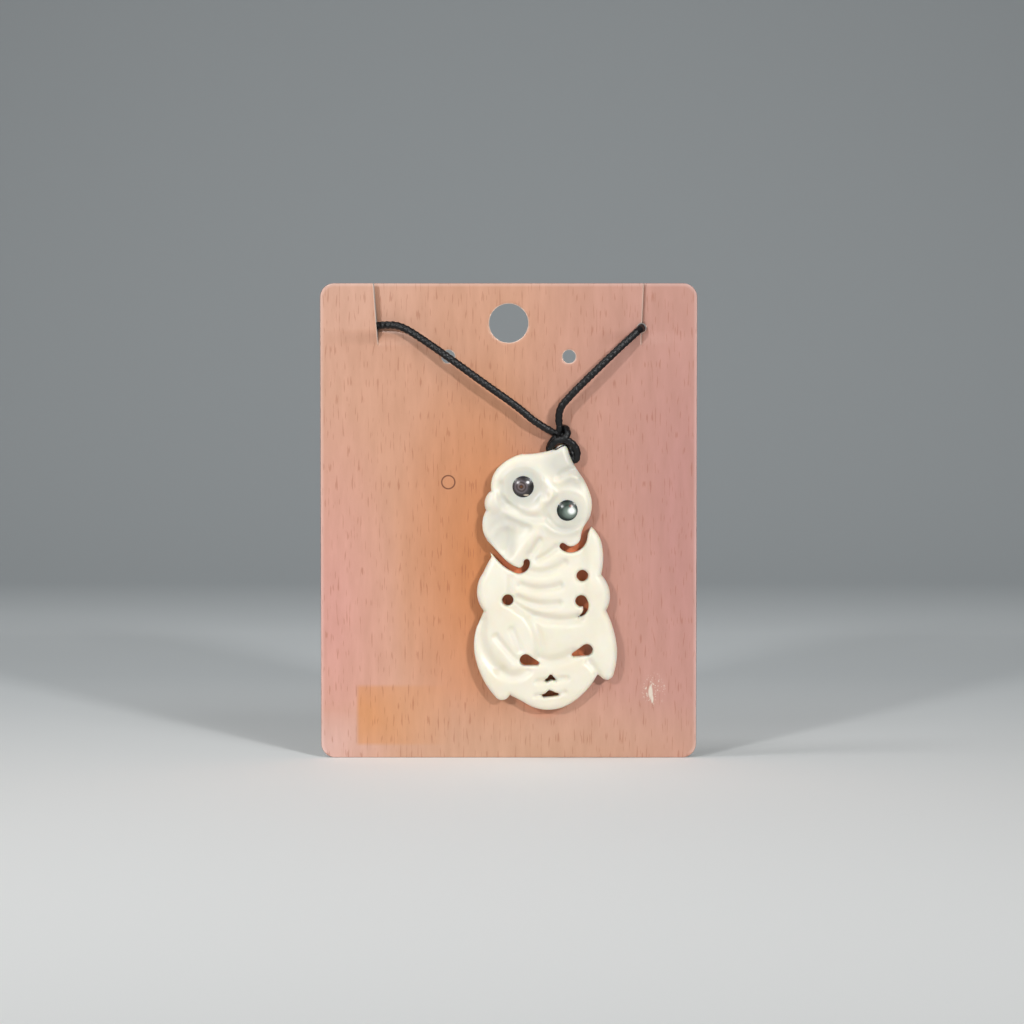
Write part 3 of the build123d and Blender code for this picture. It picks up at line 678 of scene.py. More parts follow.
STROKES = [
    # name, u, v, through u, v, to u, v, half width, height
    ("left cheek fold", 0.34, 0.753, 0.42, 0.752, 0.475, 0.785, 0.035, 0.12),
    ("groove under the left eye", 0.20, 0.795, 0.33, 0.745, 0.51, 0.722, 0.030, -0.10),
    ("lip band", 0.22, 0.745, 0.34, 0.716, 0.45, 0.700, 0.030, 0.07),
    ("groove under the lip", 0.24, 0.720, 0.31, 0.697, 0.37, 0.690, 0.030, -0.05),
    ("nose", 0.535, 0.815, 0.532, 0.797, 0.522, 0.775, 0.030, 0.09),
    ("groove of the right eye", 0.515, 0.770, 0.590, 0.690, 0.735, 0.712, 0.026, -0.12),
    ("right cheek ridge", 0.500, 0.705, 0.600, 0.668, 0.700, 0.680, 0.032, 0.08),
    ("brow, right crease", 0.60, 0.880, 0.64, 0.898, 0.70, 0.908, 0.024, -0.10),
    ("brow, right ridge", 0.59, 0.862, 0.64, 0.878, 0.72, 0.872, 0.030, 0.08),
    ("brow between the eyes", 0.49, 0.86, 0.53, 0.83, 0.56, 0.80, 0.030, 0.05),
    ("groove beside the left eye", 0.19, 0.85, 0.185, 0.81, 0.22, 0.775, 0.028, -0.08),
    ("left cheek arch", 0.17, 0.585, 0.20, 0.690, 0.30, 0.690, 0.034, 0.05),
    ("facet beside the tongue", 0.2405, 0.672, 0.240, 0.640, 0.2326, 0.605, 0.040, -0.09),
    ("tongue", 0.43, 0.663, 0.36, 0.620, 0.27, 0.560, 0.055, 0.15),
    ("groove beside the tongue", 0.46, 0.640, 0.43, 0.615, 0.40, 0.590, 0.024, -0.13),
    ("lower lip groove", 0.57, 0.612, 0.52, 0.590, 0.455, 0.568, 0.024, -0.12),
    ("chin crease", 0.385, 0.524, 0.50, 0.522, 0.63, 0.556, 0.028, -0.16),
    ("upper rib groove", 0.33, 0.471, 0.45, 0.457, 0.60, 0.469, 0.026, -0.15),
    ("lower rib groove", 0.31, 0.425, 0.44, 0.401, 0.59, 0.403, 0.026, -0.15),
    ("waist crease", 0.29, 0.400, 0.48, 0.348, 0.73, 0.348, 0.032, -0.20),
    ("crease of the left arm", 0.265, 0.500, 0.262, 0.465, 0.270, 0.430, 0.028, -0.08),
    ("crease of the right arm", 0.765, 0.595, 0.762, 0.540, 0.757, 0.420, 0.040, -0.09),
    ("haunch groove", 0.055, 0.335, 0.075, 0.220, 0.19, 0.148, 0.040, -0.14),
    ("haunch groove, foot", 0.19, 0.148, 0.27, 0.130, 0.37, 0.150, 0.034, -0.13),
    ("finger groove, long", 0.155, 0.278, 0.22, 0.235, 0.295, 0.190, 0.024, -0.11),
    ("finger groove, short", 0.265, 0.305, 0.30, 0.265, 0.325, 0.228, 0.024, -0.09),
    ("inner side of the haunch", 0.40, 0.345, 0.445, 0.295, 0.455, 0.205, 0.032, -0.12),
    ("belly crease", 0.46, 0.193, 0.57, 0.190, 0.69, 0.216, 0.034, -0.13),
    ("leaf crease of the right leg", 0.80, 0.185, 0.835, 0.165, 0.86, 0.140, 0.026, -0.10),
    ("wing of the nose, left", 0.438, 0.108, 0.465, 0.112, 0.493, 0.112, 0.018, -0.10),
    ("wing of the nose, right", 0.575, 0.116, 0.610, 0.120, 0.648, 0.121, 0.018, -0.10),
    ("corner of the mouth, left", 0.427, 0.053, 0.448, 0.056, 0.470, 0.057, 0.016, -0.08),
    ("corner of the mouth, right", 0.590, 0.061, 0.610, 0.065, 0.632, 0.067, 0.016, -0.08),
]
EYES = [
    # name, u, v, diameter
    ("left", 0.343, 0.842, 4.6),
    ("right", 0.650, 0.753, 4.5),
]
EYE_LEVEL_REACH = 3.9
EYE_RIM_OUT = 2.0
EYE_RIM_WIDTH = 0.55
EYE_RIM_HEIGHT = 0.02
print("front of", len(MASSES), "rounded masses and", len(STROKES), "folds")

# %% [markdown]
# ## Height of the front
# The height is one sum over these tables. As a plain formula of the place, it can be worked out at
# any point of any net.

# %% Height of the front
def front_height(x, z):
    """Height of the carved front above the flat back, before the edges are rounded.

    Level base + sum of masses h exp(-(a^2 + b^2)^1.5) + sum of strokes h exp(-(d / w)^2), where
    a and b run along and across a mass and d is the distance from a stroke's arc. Round the eyes
    the height is drawn to one level, with a faint raised rim.
    """
    height = np.full(x.shape, BASE_HEIGHT)
    for _, u, v, along, across, turn, rise in MASSES:
        centre_x, centre_z = spot(u, v)
        cosine, sine = math.cos(math.radians(turn)), math.sin(math.radians(turn))
        a = ((x - centre_x) * cosine + (z - centre_z) * sine) / (along * TIKI_WIDTH)
        b = (-(x - centre_x) * sine + (z - centre_z) * cosine) / (across * TIKI_WIDTH)
        height += rise * np.exp(-((a * a + b * b) ** 1.5))
    for _, u0, v0, u1, v1, u2, v2, half, rise in STROKES:
        line = [spot(u0, v0)] + arc(spot(u0, v0), spot(u1, v1), spot(u2, v2))
        off = segment_distance(x, z, line) / (half * TIKI_WIDTH)
        height += rise * np.exp(-off * off)
    for _, u, v, size in EYES:
        off = np.hypot(x - spot(u, v)[0], z - spot(u, v)[1])
        level = np.exp(-((off / EYE_LEVEL_REACH) ** 8))
        height = height * (1 - level) + EYE_LEVEL * level
        ring = (off - size / 2 - EYE_RIM_OUT) / EYE_RIM_WIDTH
        height += EYE_RIM_HEIGHT * np.exp(-ring * ring)
    return height * TIKI_THICKNESS


# %% [markdown]
# ## From drawing to bone
# A square net is laid over the drawing. Net points near an edge are pulled on to it, and the next
# few rows are drawn closer to it, so that the rounded edges get enough faces. The same net makes
# the front and the back, and a narrow wall joins the two along every edge. The card is later made
# with the same helpers.

# %% Net of the pendant
NET_STEP = 0.2
NET_MARGIN = 1.0
NET_PULL = 0.9
PULL_ROUNDS = 3
SLOPE_STEP = 0.01
SLOPE_LEAST = 0.25
OUTER_ROUND = 1.3
OUTER_WALL = 3.0
CUT_ROUND = 0.55
BACK_ROUND = 0.9
WALL_BACK = 0.8


def towards_edge(x, z, wanted):
    """Points moved down the slope g of the distance d: (x, z) - (d - wanted) g / |g|^2."""
    for _ in range(PULL_ROUNDS):
        over = plate_distance(x, z) - wanted
        ahead, behind = plate_distance(x + SLOPE_STEP, z), plate_distance(x - SLOPE_STEP, z)
        above, below = plate_distance(x, z + SLOPE_STEP), plate_distance(x, z - SLOPE_STEP)
        gx = (ahead - behind) / (2 * SLOPE_STEP)
        gz = (above - below) / (2 * SLOPE_STEP)
        size = np.maximum(gx * gx + gz * gz, SLOPE_LEAST)
        x = x - over * gx / size
        z = z - over * gz / size
    return x, z


def kept_faces(grid, kept):
    """The squares whose corners are all kept, and a triangle where just one is missing."""
    held = kept[grid]
    threes = grid[held.sum(axis=1) == 3]
    return grid[held.all(axis=1)].tolist() + threes[kept[threes]].reshape(-1, 3).tolist()


def used_only(faces):
    """The numbers of the points in use, and the faces with only those points counted."""
    used = np.unique([i for face in faces for i in face])
    number = np.zeros(used[-1] + 1, int)
    number[used] = np.arange(len(used))
    return used, [[int(number[i]) for i in face] for face in faces]


def bone_net():
    """Places (x, z) of the net and the corners of its faces."""
    right, top = TIKI_LEFT + TIKI_WIDTH + NET_MARGIN, TIKI_BOTTOM + TIKI_HEIGHT + NET_MARGIN
    columns = np.arange(TIKI_LEFT - NET_MARGIN, right, NET_STEP)
    rows = np.arange(TIKI_BOTTOM - NET_MARGIN, top, NET_STEP)
    x, z = [a.ravel() for a in np.meshgrid(columns, rows)]
    d = plate_distance(x, z)
    grid = grid_faces(len(rows), len(columns), False)
    used, faces = used_only(kept_faces(grid, d > -0.5 * NET_STEP))
    x, z, d = x[used], z[used], d[used]
    near = d < NET_PULL
    drawn = NET_PULL * (1 - np.cos(np.clip(d, 0, NET_PULL) / NET_PULL * np.pi / 2))
    wanted = np.where(d < 0.5 * NET_STEP, 0, drawn)
    x[near], z[near] = towards_edge(x[near], z[near], wanted[near])
    return x, z, faces


def edge_loop(faces):
    """Pairs of corners that only one face uses, in that face's order: the edges of the net."""
    pairs = np.array([(a, b) for face in faces for a, b in zip(face, face[1:] + face[:1])])
    key = pairs.min(axis=1) * (pairs.max() + 1) + pairs.max(axis=1)
    _, where, counts = np.unique(key, return_index=True, return_counts=True)
    return pairs[where[counts == 1]]


def thick(faces, count):
    """Faces of a front net of count points, of the back net behind it, and of the walls between."""
    backs = [[count + i for i in reversed(face)] for face in faces]
    start, end = edge_loop(faces).T
    walls = np.stack([end, start, start + count, end + count], axis=1).tolist()
    return faces + backs + walls


# %% [markdown]
# ## Front and back of the bone
# Each net point now gets its height. Along the outline the front falls to the wall in a wide
# quarter round, round the piercings in a narrow one, and the edges of the back are rounded too.

# %% Front, back and walls of the bone
net_x, net_z, net_faces = bone_net()
outer = np.maximum(signed_distance(net_x, net_z, outline_points[:-1]), 0)
inner = np.maximum(piercing_distance(net_x, net_z), 0)
front = OUTER_WALL + (front_height(net_x, net_z) - OUTER_WALL) * quarter(outer, OUTER_ROUND)
front -= CUT_ROUND * (1 - quarter(inner, CUT_ROUND))
back = WALL_BACK * (1 - quarter(np.minimum(outer, inner), BACK_ROUND))

front_points = np.stack([net_x, TIKI_BACK - front, net_z], axis=1)
back_points = np.stack([net_x, TIKI_BACK - back, net_z], axis=1)
bone_faces = thick(net_faces, len(net_x))
print("net of", len(net_x), "points,", len(bone_faces), "faces on front, back and walls")

# %% [markdown]
# ## Masks
# A mask is 1 where a colour is wanted and 0 elsewhere, with a soft edge between. The bone, the
# shell and the printed card all use them.

# %% Masks
def from_net(tree, name):
    """A value that the mesh carries for each point."""
    return node(tree, "ShaderNodeAttribute", attribute_name=name).outputs["Fac"]


def fade(tree, value, full, gone):
    """1 where a value is at or before full, 0 at or past gone, and even steps between."""
    sockets = {"Value": value, "From Min": full, "From Max": gone, "To Min": 1, "To Max": 0}
    return node(tree, "ShaderNodeMapRange", sockets).outputs["Result"]


def from_place(tree, centre, size=(1, 1)):
    """Distance across the card from a place, in mm, or in shares of an oval's two half sizes."""
    place = object_place(tree, (1 / size[0], 0, 1 / size[1]), (centre[0], 0, centre[1]))
    return node(tree, "ShaderNodeVectorMath", {0: place}, operation="LENGTH").outputs["Value"]


def cloud(tree, centre, size, soft):
    """1 inside an oval about a centre and 0 outside, with a soft edge."""
    return fade(tree, from_place(tree, centre, size), 1 - soft, 1 + soft)


def block(tree, centre, half_size, soft):
    """1 inside an upright rectangle and 0 outside, with a soft edge."""
    place = object_place(tree, (1, 0, 1), (centre[0], 0, centre[1]))
    split = node(tree, "ShaderNodeSeparateXYZ", {"Vector": place})
    sides = [
        fade(tree, math_node(tree, "ABSOLUTE", split.outputs[axis]), reach - soft, reach + soft)
        for axis, reach in zip("XZ", half_size)
    ]
    return math_node(tree, "MULTIPLY", *sides)


def ring(tree, centre, radius, half_line):
    """1 on a thin circle and 0 elsewhere."""
    beyond = math_node(tree, "SUBTRACT", from_place(tree, centre), radius)
    return fade(tree, math_node(tree, "ABSOLUTE", beyond), 0.4 * half_line, half_line)


def share_of(tree, mask, share):
    """A mask made weaker: it reaches only a share of its full height, or another mask's."""
    return math_node(tree, "MULTIPLY", mask, share)


# %% [markdown]
# ## Bone
# Polished bone is a warm white, a little clouded, with a soft gloss. Light enters it and comes
# out again nearby, so subsurface scattering keeps the folds from going grey. A few places on the
# head get painted grey shade, each an oval with a soft edge.

# %% Polished bone
PAINTED_SHADE_ON_BONE = [
    # centre, half sizes, softness, share of the painted grey shade
    ((3.0, -34.3), (4.6, 4.4), 0.25, 0.60),
    ((11.4, -29.2), (3.6, 2.6), 0.40, 0.60),
    ((13.8, -32.4), (2.8, 1.8), 0.50, 0.45),
    ((12.3, -39.4), (4.2, 4.2), 0.35, 0.40),
    ((12.1, -43.0), (3.4, 1.2), 0.70, 0.45),
    ((-2.2, -42.4), (2.6, 4.4), 0.60, 0.45),
    ((1.6, -41.8), (3.4, 1.5), 0.70, 0.40),
    ((0.4, -46.2), (1.2, 3.0), 0.60, 0.35),
]


def polished_bone():
    """Warm white with a slow cloud, fine upright fibres and the ovals of painted grey shade."""
    material, tree, shader = finish(
        "polished_bone",
        Roughness=0.38,
        Subsurface_Weight=0.45,
        Subsurface_Radius=(2.6 * MM, 1.6 * MM, 0.8 * MM),
        Subsurface_Scale=1.0,
        Coat_Weight=0.08,
        Coat_Roughness=0.2,
    )
    place = object_place(tree)
    mottle = noise(tree, place, 0.16, detail=4.0)
    tone = ramp(tree, mottle, (0.3, rgb(224, 218, 200)), (0.7, rgb(229, 225, 211)))
    # painted shade: grey ovals on the head
    for centre, size, soft, share in PAINTED_SHADE_ON_BONE:
        mask = cloud(tree, centre, size, soft)
        tone = blend(tree, share_of(tree, mask, share), tone, rgb(186, 186, 178))
    fibre = noise(tree, object_place(tree, (1.4, 1.4, 0.25)), 1.0, detail=2.0)
    tone = blend(tree, share_of(tree, fibre, 0.10), tone, rgb(238, 226, 201))
    tree.links.new(tone, shader.inputs["Base Color"])
    bump(tree, shader, noise(tree, place, 2.5, detail=2.0), 0.15, 0.03)
    return material


tiki = new_piece("bone_tiki", np.vstack([front_points, back_points]), bone_faces, polished_bone())
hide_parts("tiki")
print("bone with", len(PAINTED_SHADE_ON_BONE), "greyer places")

# %% [markdown]
# ## Eyes
# Two small discs of dark shell are set in the head. Each is a low dome with a rounded rim, and its
# rings show because the shell is cut across its layers. The rings' middle may lie beside the
# disc's own. Small patches add a brown mark in the shell, and painted highlights and a painted
# reflection.

# %% Shell
RING_WANDER = 0.35
RING_REACH = 2.6


def dark_shell(name, centre, rings, patches):
    """Rings follow (distance from the middle + wander * noise) / reach."""
    material, tree, shader = finish(name, Roughness=0.24, Specular_IOR_Level=0.4)
    wander = noise(tree, object_place(tree, (1, 0, 1), (centre[0], 0, centre[1])), 0.9)
    bent = math_node(tree, "MULTIPLY_ADD", wander, RING_WANDER, from_place(tree, centre))
    tone = ramp(tree, math_node(tree, "DIVIDE", bent, RING_REACH), *rings)
    # the patches: painted highlights and a painted reflection, and one brown mark
    for middle, size, soft, colour in patches:
        tone = blend(tree, cloud(tree, middle, size, soft), tone, colour)
    tree.links.new(tone, shader.inputs["Base Color"])
    return material


print("rings reach", RING_REACH, "mm from their middle")

# %% [markdown]
# ## Discs in the head
# The tables give the colours of the rings from the middle outwards, and the small patches:
# a brown mark, painted highlights and a painted reflection. Each disc is one profile turned
# about its axis.

# %% Discs of shell
EYE_SEAT = 1.2
EYE_CLEARANCE = 0.05
EYE_DOME = 0.45
EYE_EDGE = 0.18
EYE_PROUD = 0.12
SHELL_RINGS = {
    "left": [
        (0.00, rgb(52, 26, 10)),
        (0.10, rgb(104, 66, 36)),
        (0.20, rgb(62, 48, 42)),
        (0.30, rgb(112, 98, 98)),
        (0.42, rgb(58, 48, 46)),
        (0.54, rgb(96, 88, 92)),
        (0.66, rgb(60, 54, 54)),
        (0.84, rgb(36, 32, 32)),
    ],
    "right": [
        (0.00, rgb(96, 108, 98)),
        (0.25, rgb(70, 84, 76)),
        (0.45, rgb(44, 56, 50)),
        (0.60, rgb(58, 70, 62)),
        (0.80, rgb(26, 34, 30)),
    ],
}
RING_SHIFT = {"left": -0.4, "right": 0.0}
SHELL_MARKS_AND_PAINTED_LIGHTS = {
    # centre, half sizes, softness, colour
    "left": [
        # painted highlight, and a painted streak of light below it
        ((4.0, -33.2), (0.30, 0.22), 0.5, rgb(190, 184, 184)),
        ((3.7, -35.9), (0.50, 0.16), 0.5, rgb(206, 190, 170)),
    ],
    "right": [
        # painted reflection of a lamp: a paler halo round a white middle
        ((12.9, -39.5), (1.25, 1.05), 0.5, rgb(128, 142, 132)),
        ((13.2, -39.2), (0.72, 0.66), 0.4, rgb(244, 248, 242)),
        # a brown mark in the shell itself
        ((13.0, -38.2), (0.36, 0.30), 0.3, rgb(104, 48, 22)),
    ],
}
EYE_SIDES = 64
EYE_RIM_STEPS = 6
EYE_DOME_STEPS = 14


def domed_disc(name, centre, radius, foot, seat, material):
    """A profile turned about its axis: up the side, round the rim, then a low dome to the pole.

    The dome is r -> h (1 - (r / R)^2) above the seat, and the rim a quarter round.
    """
    bend = np.linspace(0, np.pi / 2, EYE_RIM_STEPS)
    rim_r = radius - EYE_EDGE * (1 - np.cos(bend))
    rim_y = seat - EYE_EDGE + EYE_EDGE * np.sin(bend)
    dome_r = np.linspace(radius - EYE_EDGE, 0, EYE_DOME_STEPS)[1:-1]
    dome_y = seat + EYE_DOME * (1 - (dome_r / (radius - EYE_EDGE)) ** 2)
    r = np.concatenate([[radius], rim_r, dome_r])
    y = np.concatenate([[foot], rim_y, dome_y])
    angle = np.linspace(0, 2 * np.pi, EYE_SIDES, endpoint=False)
    x = centre[0] + r[:, None] * np.cos(angle)
    z = centre[1] + r[:, None] * np.sin(angle)
    y = np.broadcast_to(TIKI_BACK - y[:, None], x.shape)
    points = np.stack([x, y, z], axis=-1).reshape(-1, 3)
    around = np.arange(EYE_SIDES)
    last = (len(r) - 1) * EYE_SIDES
    faces = grid_faces(len(r), EYE_SIDES, True).tolist()
    faces += fan(last + around, len(points)) + fan(around[::-1], len(points) + 1)
    ends = [
        (centre[0], TIKI_BACK - seat - EYE_DOME, centre[1]),
        (centre[0], TIKI_BACK - foot, centre[1]),
    ]
    return new_piece(name, np.vstack([points, ends]), faces, material)


level_height = EYE_LEVEL * TIKI_THICKNESS
for side, u, v, size in EYES:
    centre = spot(u, v)
    ring_middle = (centre[0] + RING_SHIFT[side], centre[1])
    material = dark_shell("shell_" + side, ring_middle, SHELL_RINGS[side], SHELL_MARKS_AND_PAINTED_LIGHTS[side])
    eye = domed_disc(
        "shell_eye_" + side,
        centre,
        size / 2 - EYE_CLEARANCE,
        level_height - EYE_SEAT + EYE_CLEARANCE,
        level_height + EYE_PROUD,
        material,
    )
    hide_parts("eye_" + side)
print("eyes set at height", level_height + EYE_PROUD, "mm")

# %% [markdown]
# ## The card
# The card is thin board with a printed beech pattern under a clear film. Two slits run down from
# its top edge, and the cord springs their edges apart, one forward and one back. The card could be
# cut from a plate with modifiers, but then each bend would crease. Here it is a net with finer
# squares near the holes and slits. The net has two separate edges along each slit, so that each
# panel bends by itself.

# %% Net of the card
HALF_WIDTH = 39.6
CARD_TOP = 8.4
CARD_BOTTOM = -91.6
CARD_THICKNESS = 0.6
CARD_CORNER = 3.0
CARD_ROUND = 0.1
PUNCH_SIDE = 12.7
FINE = 0.35
COARSE = 1.1
EDGE_STEP = 0.06
GRADE_POINTS = 6000
SLIT_SIDE = 27.9
SLIT_FOOT = CARD_TOP - 13.2
SPRING_RISE = 3.4
SPRING_REACH = 13.9
LEAN_REACH = 5.0
SLITS = [
    # place, how far its top leans aside, how far its foot does
    (-SLIT_SIDE, -0.48, 0.47),
    (SLIT_SIDE, 0.39, -0.16),
]
SPRINGS = [
    # panel, slit beside it, how far that edge is sprung, + is to the back
    (0, -SLIT_SIDE, -1.4),
    (1, -SLIT_SIDE, 1.45),
    (1, SLIT_SIDE, -0.9),
    (2, SLIT_SIDE, 0.5),
]
CARD_HOLES = [
    # name, x, z, radius
    ("hang hole", 0.0, 0.0, 4.1),
    ("left punch", -PUNCH_SIDE, -7.0, 1.4),
    ("right punch", PUNCH_SIDE, -7.0, 1.4),
    ("where the cord goes through", SLIT_SIDE, -0.97, 0.97),
]
FINE_COLUMNS = [
    # place, reach, step
    (-HALF_WIDTH, 0.3, EDGE_STEP),
    (HALF_WIDTH, 0.3, EDGE_STEP),
    (-SLIT_SIDE, 2.0, FINE),
    (SLIT_SIDE, 2.0, FINE),
    (-PUNCH_SIDE, 2.2, FINE),
    (PUNCH_SIDE, 2.2, FINE),
    (0.0, 4.8, FINE),
]
FINE_ROWS = [
    (CARD_TOP, 0.3, EDGE_STEP),
    (CARD_BOTTOM, 0.3, EDGE_STEP),
    (-0.5, 9.0, FINE),
    (CARD_BOTTOM + CARD_CORNER / 2, CARD_CORNER / 2, FINE),
]
print("card", 2 * HALF_WIDTH, "by", CARD_TOP - CARD_BOTTOM, "mm, with", len(CARD_HOLES), "holes")

# %% [markdown]
# ## How the card's net runs
# The columns lean with the slanting slits, the outer ones are drawn in to the round corners, and
# points near a hole are pulled on to its circle.

# %% Steps, corners and slits
def graded(start, end, fine):
    """Places from start to end whose steps are small near each listed place.

    The count of steps up to a place is the integral of 1 / step, which is then read backwards.
    """
    place = np.linspace(start, end, GRADE_POINTS)
    step = np.full(place.shape, COARSE)
    for middle, reach, small in fine:
        step = np.where(np.abs(place - middle) <= reach, np.minimum(step, small), step)
    count = np.concatenate([[0], np.cumsum((place[1] - place[0]) / step[1:])])
    return np.interp(np.linspace(0, count[-1], round(count[-1]) + 1), count, place)


def lean(x, z):
    """Sideways shift that lays the net's columns along the slanting slits."""
    down = np.clip((CARD_TOP - z) / (CARD_TOP - SLIT_FOOT), 0, 1)
    fading = np.exp(-(np.maximum(SLIT_FOOT - z, 0) / LEAN_REACH) ** 2)
    shift = np.zeros(x.shape)
    for place, top, foot in SLITS:
        shift += (top + (foot - top) * down) * np.exp(-(((x - place) / LEAN_REACH) ** 2))
    return shift * fading


def round_corners(x, z):
    """Columns beyond the corners' centres drawn in to the corner arcs, by w = sqrt(r^2 - dz^2)."""
    straight = HALF_WIDTH - CARD_CORNER
    above = np.maximum(z - (CARD_TOP - CARD_CORNER), CARD_BOTTOM + CARD_CORNER - z)
    width = np.sqrt(CARD_CORNER**2 - np.clip(above, 0, CARD_CORNER) ** 2) / CARD_CORNER
    beyond = np.maximum(np.abs(x) - straight, 0)
    return np.sign(x) * (np.minimum(np.abs(x), straight) + beyond * width)


def card_outline_distance(x, z):
    """Distance inside a rectangle with round corners."""
    off_x = np.abs(x) - (HALF_WIDTH - CARD_CORNER)
    middle_z = (CARD_TOP + CARD_BOTTOM) / 2
    off_z = np.abs(z - middle_z) - ((CARD_TOP - CARD_BOTTOM) / 2 - CARD_CORNER)
    beyond = np.hypot(np.maximum(off_x, 0), np.maximum(off_z, 0))
    return CARD_CORNER - beyond - np.minimum(np.maximum(off_x, off_z), 0)


def card_net():
    """Places (x, z) of the net, the panel of each, its faces, and its distance from a cut."""
    rows = graded(CARD_BOTTOM, CARD_TOP, FINE_ROWS)
    sides = [-HALF_WIDTH, -SLIT_SIDE, SLIT_SIDE, HALF_WIDTH]
    places, panels, quads, offset = [], [], [], 0
    for panel, (left, right) in enumerate(zip(sides[:-1], sides[1:])):
        columns = graded(left, right, FINE_COLUMNS)
        x, z = [a.ravel() for a in np.meshgrid(columns, rows)]
        cut = np.minimum(np.abs(x - left), np.abs(x - right))
        cut = np.where((z > SLIT_FOOT) & (cut < np.abs(np.abs(x) - HALF_WIDTH)), cut, HALF_WIDTH)
        places.append(np.stack([round_corners(x, z) + lean(x, z), z, cut], axis=1))
        panels.append(np.full(len(x), panel))
        quads.append(grid_faces(len(rows), len(columns), False) + offset)
        offset += len(x)
    places, panels, quads = np.concatenate(places), np.concatenate(panels), np.concatenate(quads)
    x, z, cut = places.T
    kept = np.ones(len(x), bool)
    for _, hole_x, hole_z, radius in CARD_HOLES:
        off = np.hypot(x - hole_x, z - hole_z)
        kept &= off > radius - 0.5 * FINE
        near = np.abs(off - radius) <= 0.5 * FINE
        x = np.where(near, hole_x + (x - hole_x) * radius / off, x)
        z = np.where(near, hole_z + (z - hole_z) * radius / off, z)
        cut = np.minimum(cut, np.where(near, 0, np.abs(off - radius)))
    # Points at one place become one point, but beside a slit each panel keeps its own.
    own = np.where(z > SLIT_FOOT + 1e-6, panels, -1)
    key = np.round(np.stack([x, z, own], axis=1), 4)
    _, first, number = np.unique(key, axis=0, return_index=True, return_inverse=True)
    number = number.ravel()
    faces = [list(dict.fromkeys(number[face].tolist())) for face in kept_faces(quads, kept)]
    used, faces = used_only([face for face in faces if len(face) > 2])
    first = first[used]
    return x[first], z[first], panels[first], cut[first], faces


# %% [markdown]
# ## The bent card
# The cord pushes the edges of each slit apart, most at the top and near the slit. The net is bent
# by that much, and half the board's thickness lies on either side of it.

# %% Bend of the card
def sprung(x, z, panel):
    """How far the card is bent: each slit edge's spring, fading along x and rising from the foot.

    Along x it falls as (1 - |x - slit| / reach)^1.5, and up z it rises as 3 t^2 - 2 t^3.
    """
    t = np.clip((z - SLIT_FOOT) / SPRING_RISE, 0, 1)
    rise = t * t * (3 - 2 * t)
    bent = np.zeros(x.shape)
    for side, slit, spring in SPRINGS:
        share = np.clip(1 - np.abs(x - slit) / SPRING_REACH, 0, 1) ** 1.5
        bent += np.where(panel == side, spring * share * rise, 0)
    return bent


card_x, card_z, card_panel, card_cut, card_faces = card_net()
from_outline = np.maximum(card_outline_distance(card_x, card_z), 0)
bent = sprung(card_x, card_z, card_panel)
from_edge = np.minimum(from_outline, card_cut)
half = CARD_THICKNESS / 2 - CARD_ROUND * (1 - quarter(from_edge, CARD_ROUND))
card_points = np.vstack([
    np.stack([card_x, bent - half, card_z], axis=1),
    np.stack([card_x, bent + half, card_z], axis=1),
])
print("card of", len(card_x), "points and", len(card_faces), "faces a side")

# %% [markdown]
# ## Print on the card
# The print is broad pink and orange clouds, fine upright fibres and short dark flecks. The cloud
# on the right side is partly painted shade. At the lower left lies a warmer rectangle that fades
# to the right, left of the head a thin scored ring, and at the lower right a scuff. The ring's
# groove is not in the net, so its dark line is partly painted shade. Behind the pendant the print
# is made deeper as painted light, because the light there has come off the bone and the card
# before. Cut edges are pale, partly worn and partly a painted highlight, so the material also
# reads two values that the net carries: how far each point lies from the outline and from a cut.
# The film gets a painted pale highlight along the outline, except at the foot, and the very edge
# is dark.

# %% Beech print
PRINT_BASE = rgb(203, 156, 134)
PRINT_AND_SHADE_CLOUDS = [
    # centre, half sizes, softness, colour
    ((-4, -34), (24, 40), 0.85, rgb(196, 141, 108)),
    ((-6, -52), (11, 26), 0.80, rgb(192, 124, 76)),
    # partly painted shade: this cloud darkens the card's right side
    ((40, -42), (24, 66), 0.75, rgb(182, 131, 122)),
    ((-38, -62), (9, 26), 0.80, rgb(204, 148, 135)),
    ((-38, -90), (9, 5), 0.70, rgb(219, 177, 172)),
    ((0, -91), (34, 8), 0.80, rgb(192, 149, 122)),
]
WARM_BLOCK = ((-22.0, -82.6), (9.9, 6.2), 0.4)  # centre, half sizes, softness
WARM_START = (-31.9, -83.0)
WARM_FADE = (3.0, 21.0)  # full up to, gone from, in mm from the start
WARM_SHARE = 0.62
PAINTED_BOUNCE_BEHIND_BONE = ((7.4, -57.5), (10.8, 23.4), 0.12)  # centre, half sizes, softness
GRAIN_SCALE = (0.45, 0, 0.09)  # lumps to a mm, few along z, so that they are drawn out upright
GRAIN_SHARE = 0.7
FLECK_SCALE = (3.0, 0, 0.28)
FLECK_SHARE = 0.42
SCORED_RING = ((-PUNCH_SIDE, -33.4), 1.38, 0.2)  # centre, radius, half the width of the line
SCORED_SHARE = 0.85
SCUFFS = [
    # centre, half sizes, share of it that is worn through
    ((29.92, -77.7), (0.46, 1.40), 0.78),
    ((30.3, -79.2), (0.25, 0.9), 0.72),
    ((30.6, -77.2), (2.5, 3.3), 0.39),
]
SCUFF_SHARE = 0.9
ABOVE_FOOT = ((0, -30), (400, 60.8), 0.004)  # an oval so wide that its foot is nearly level


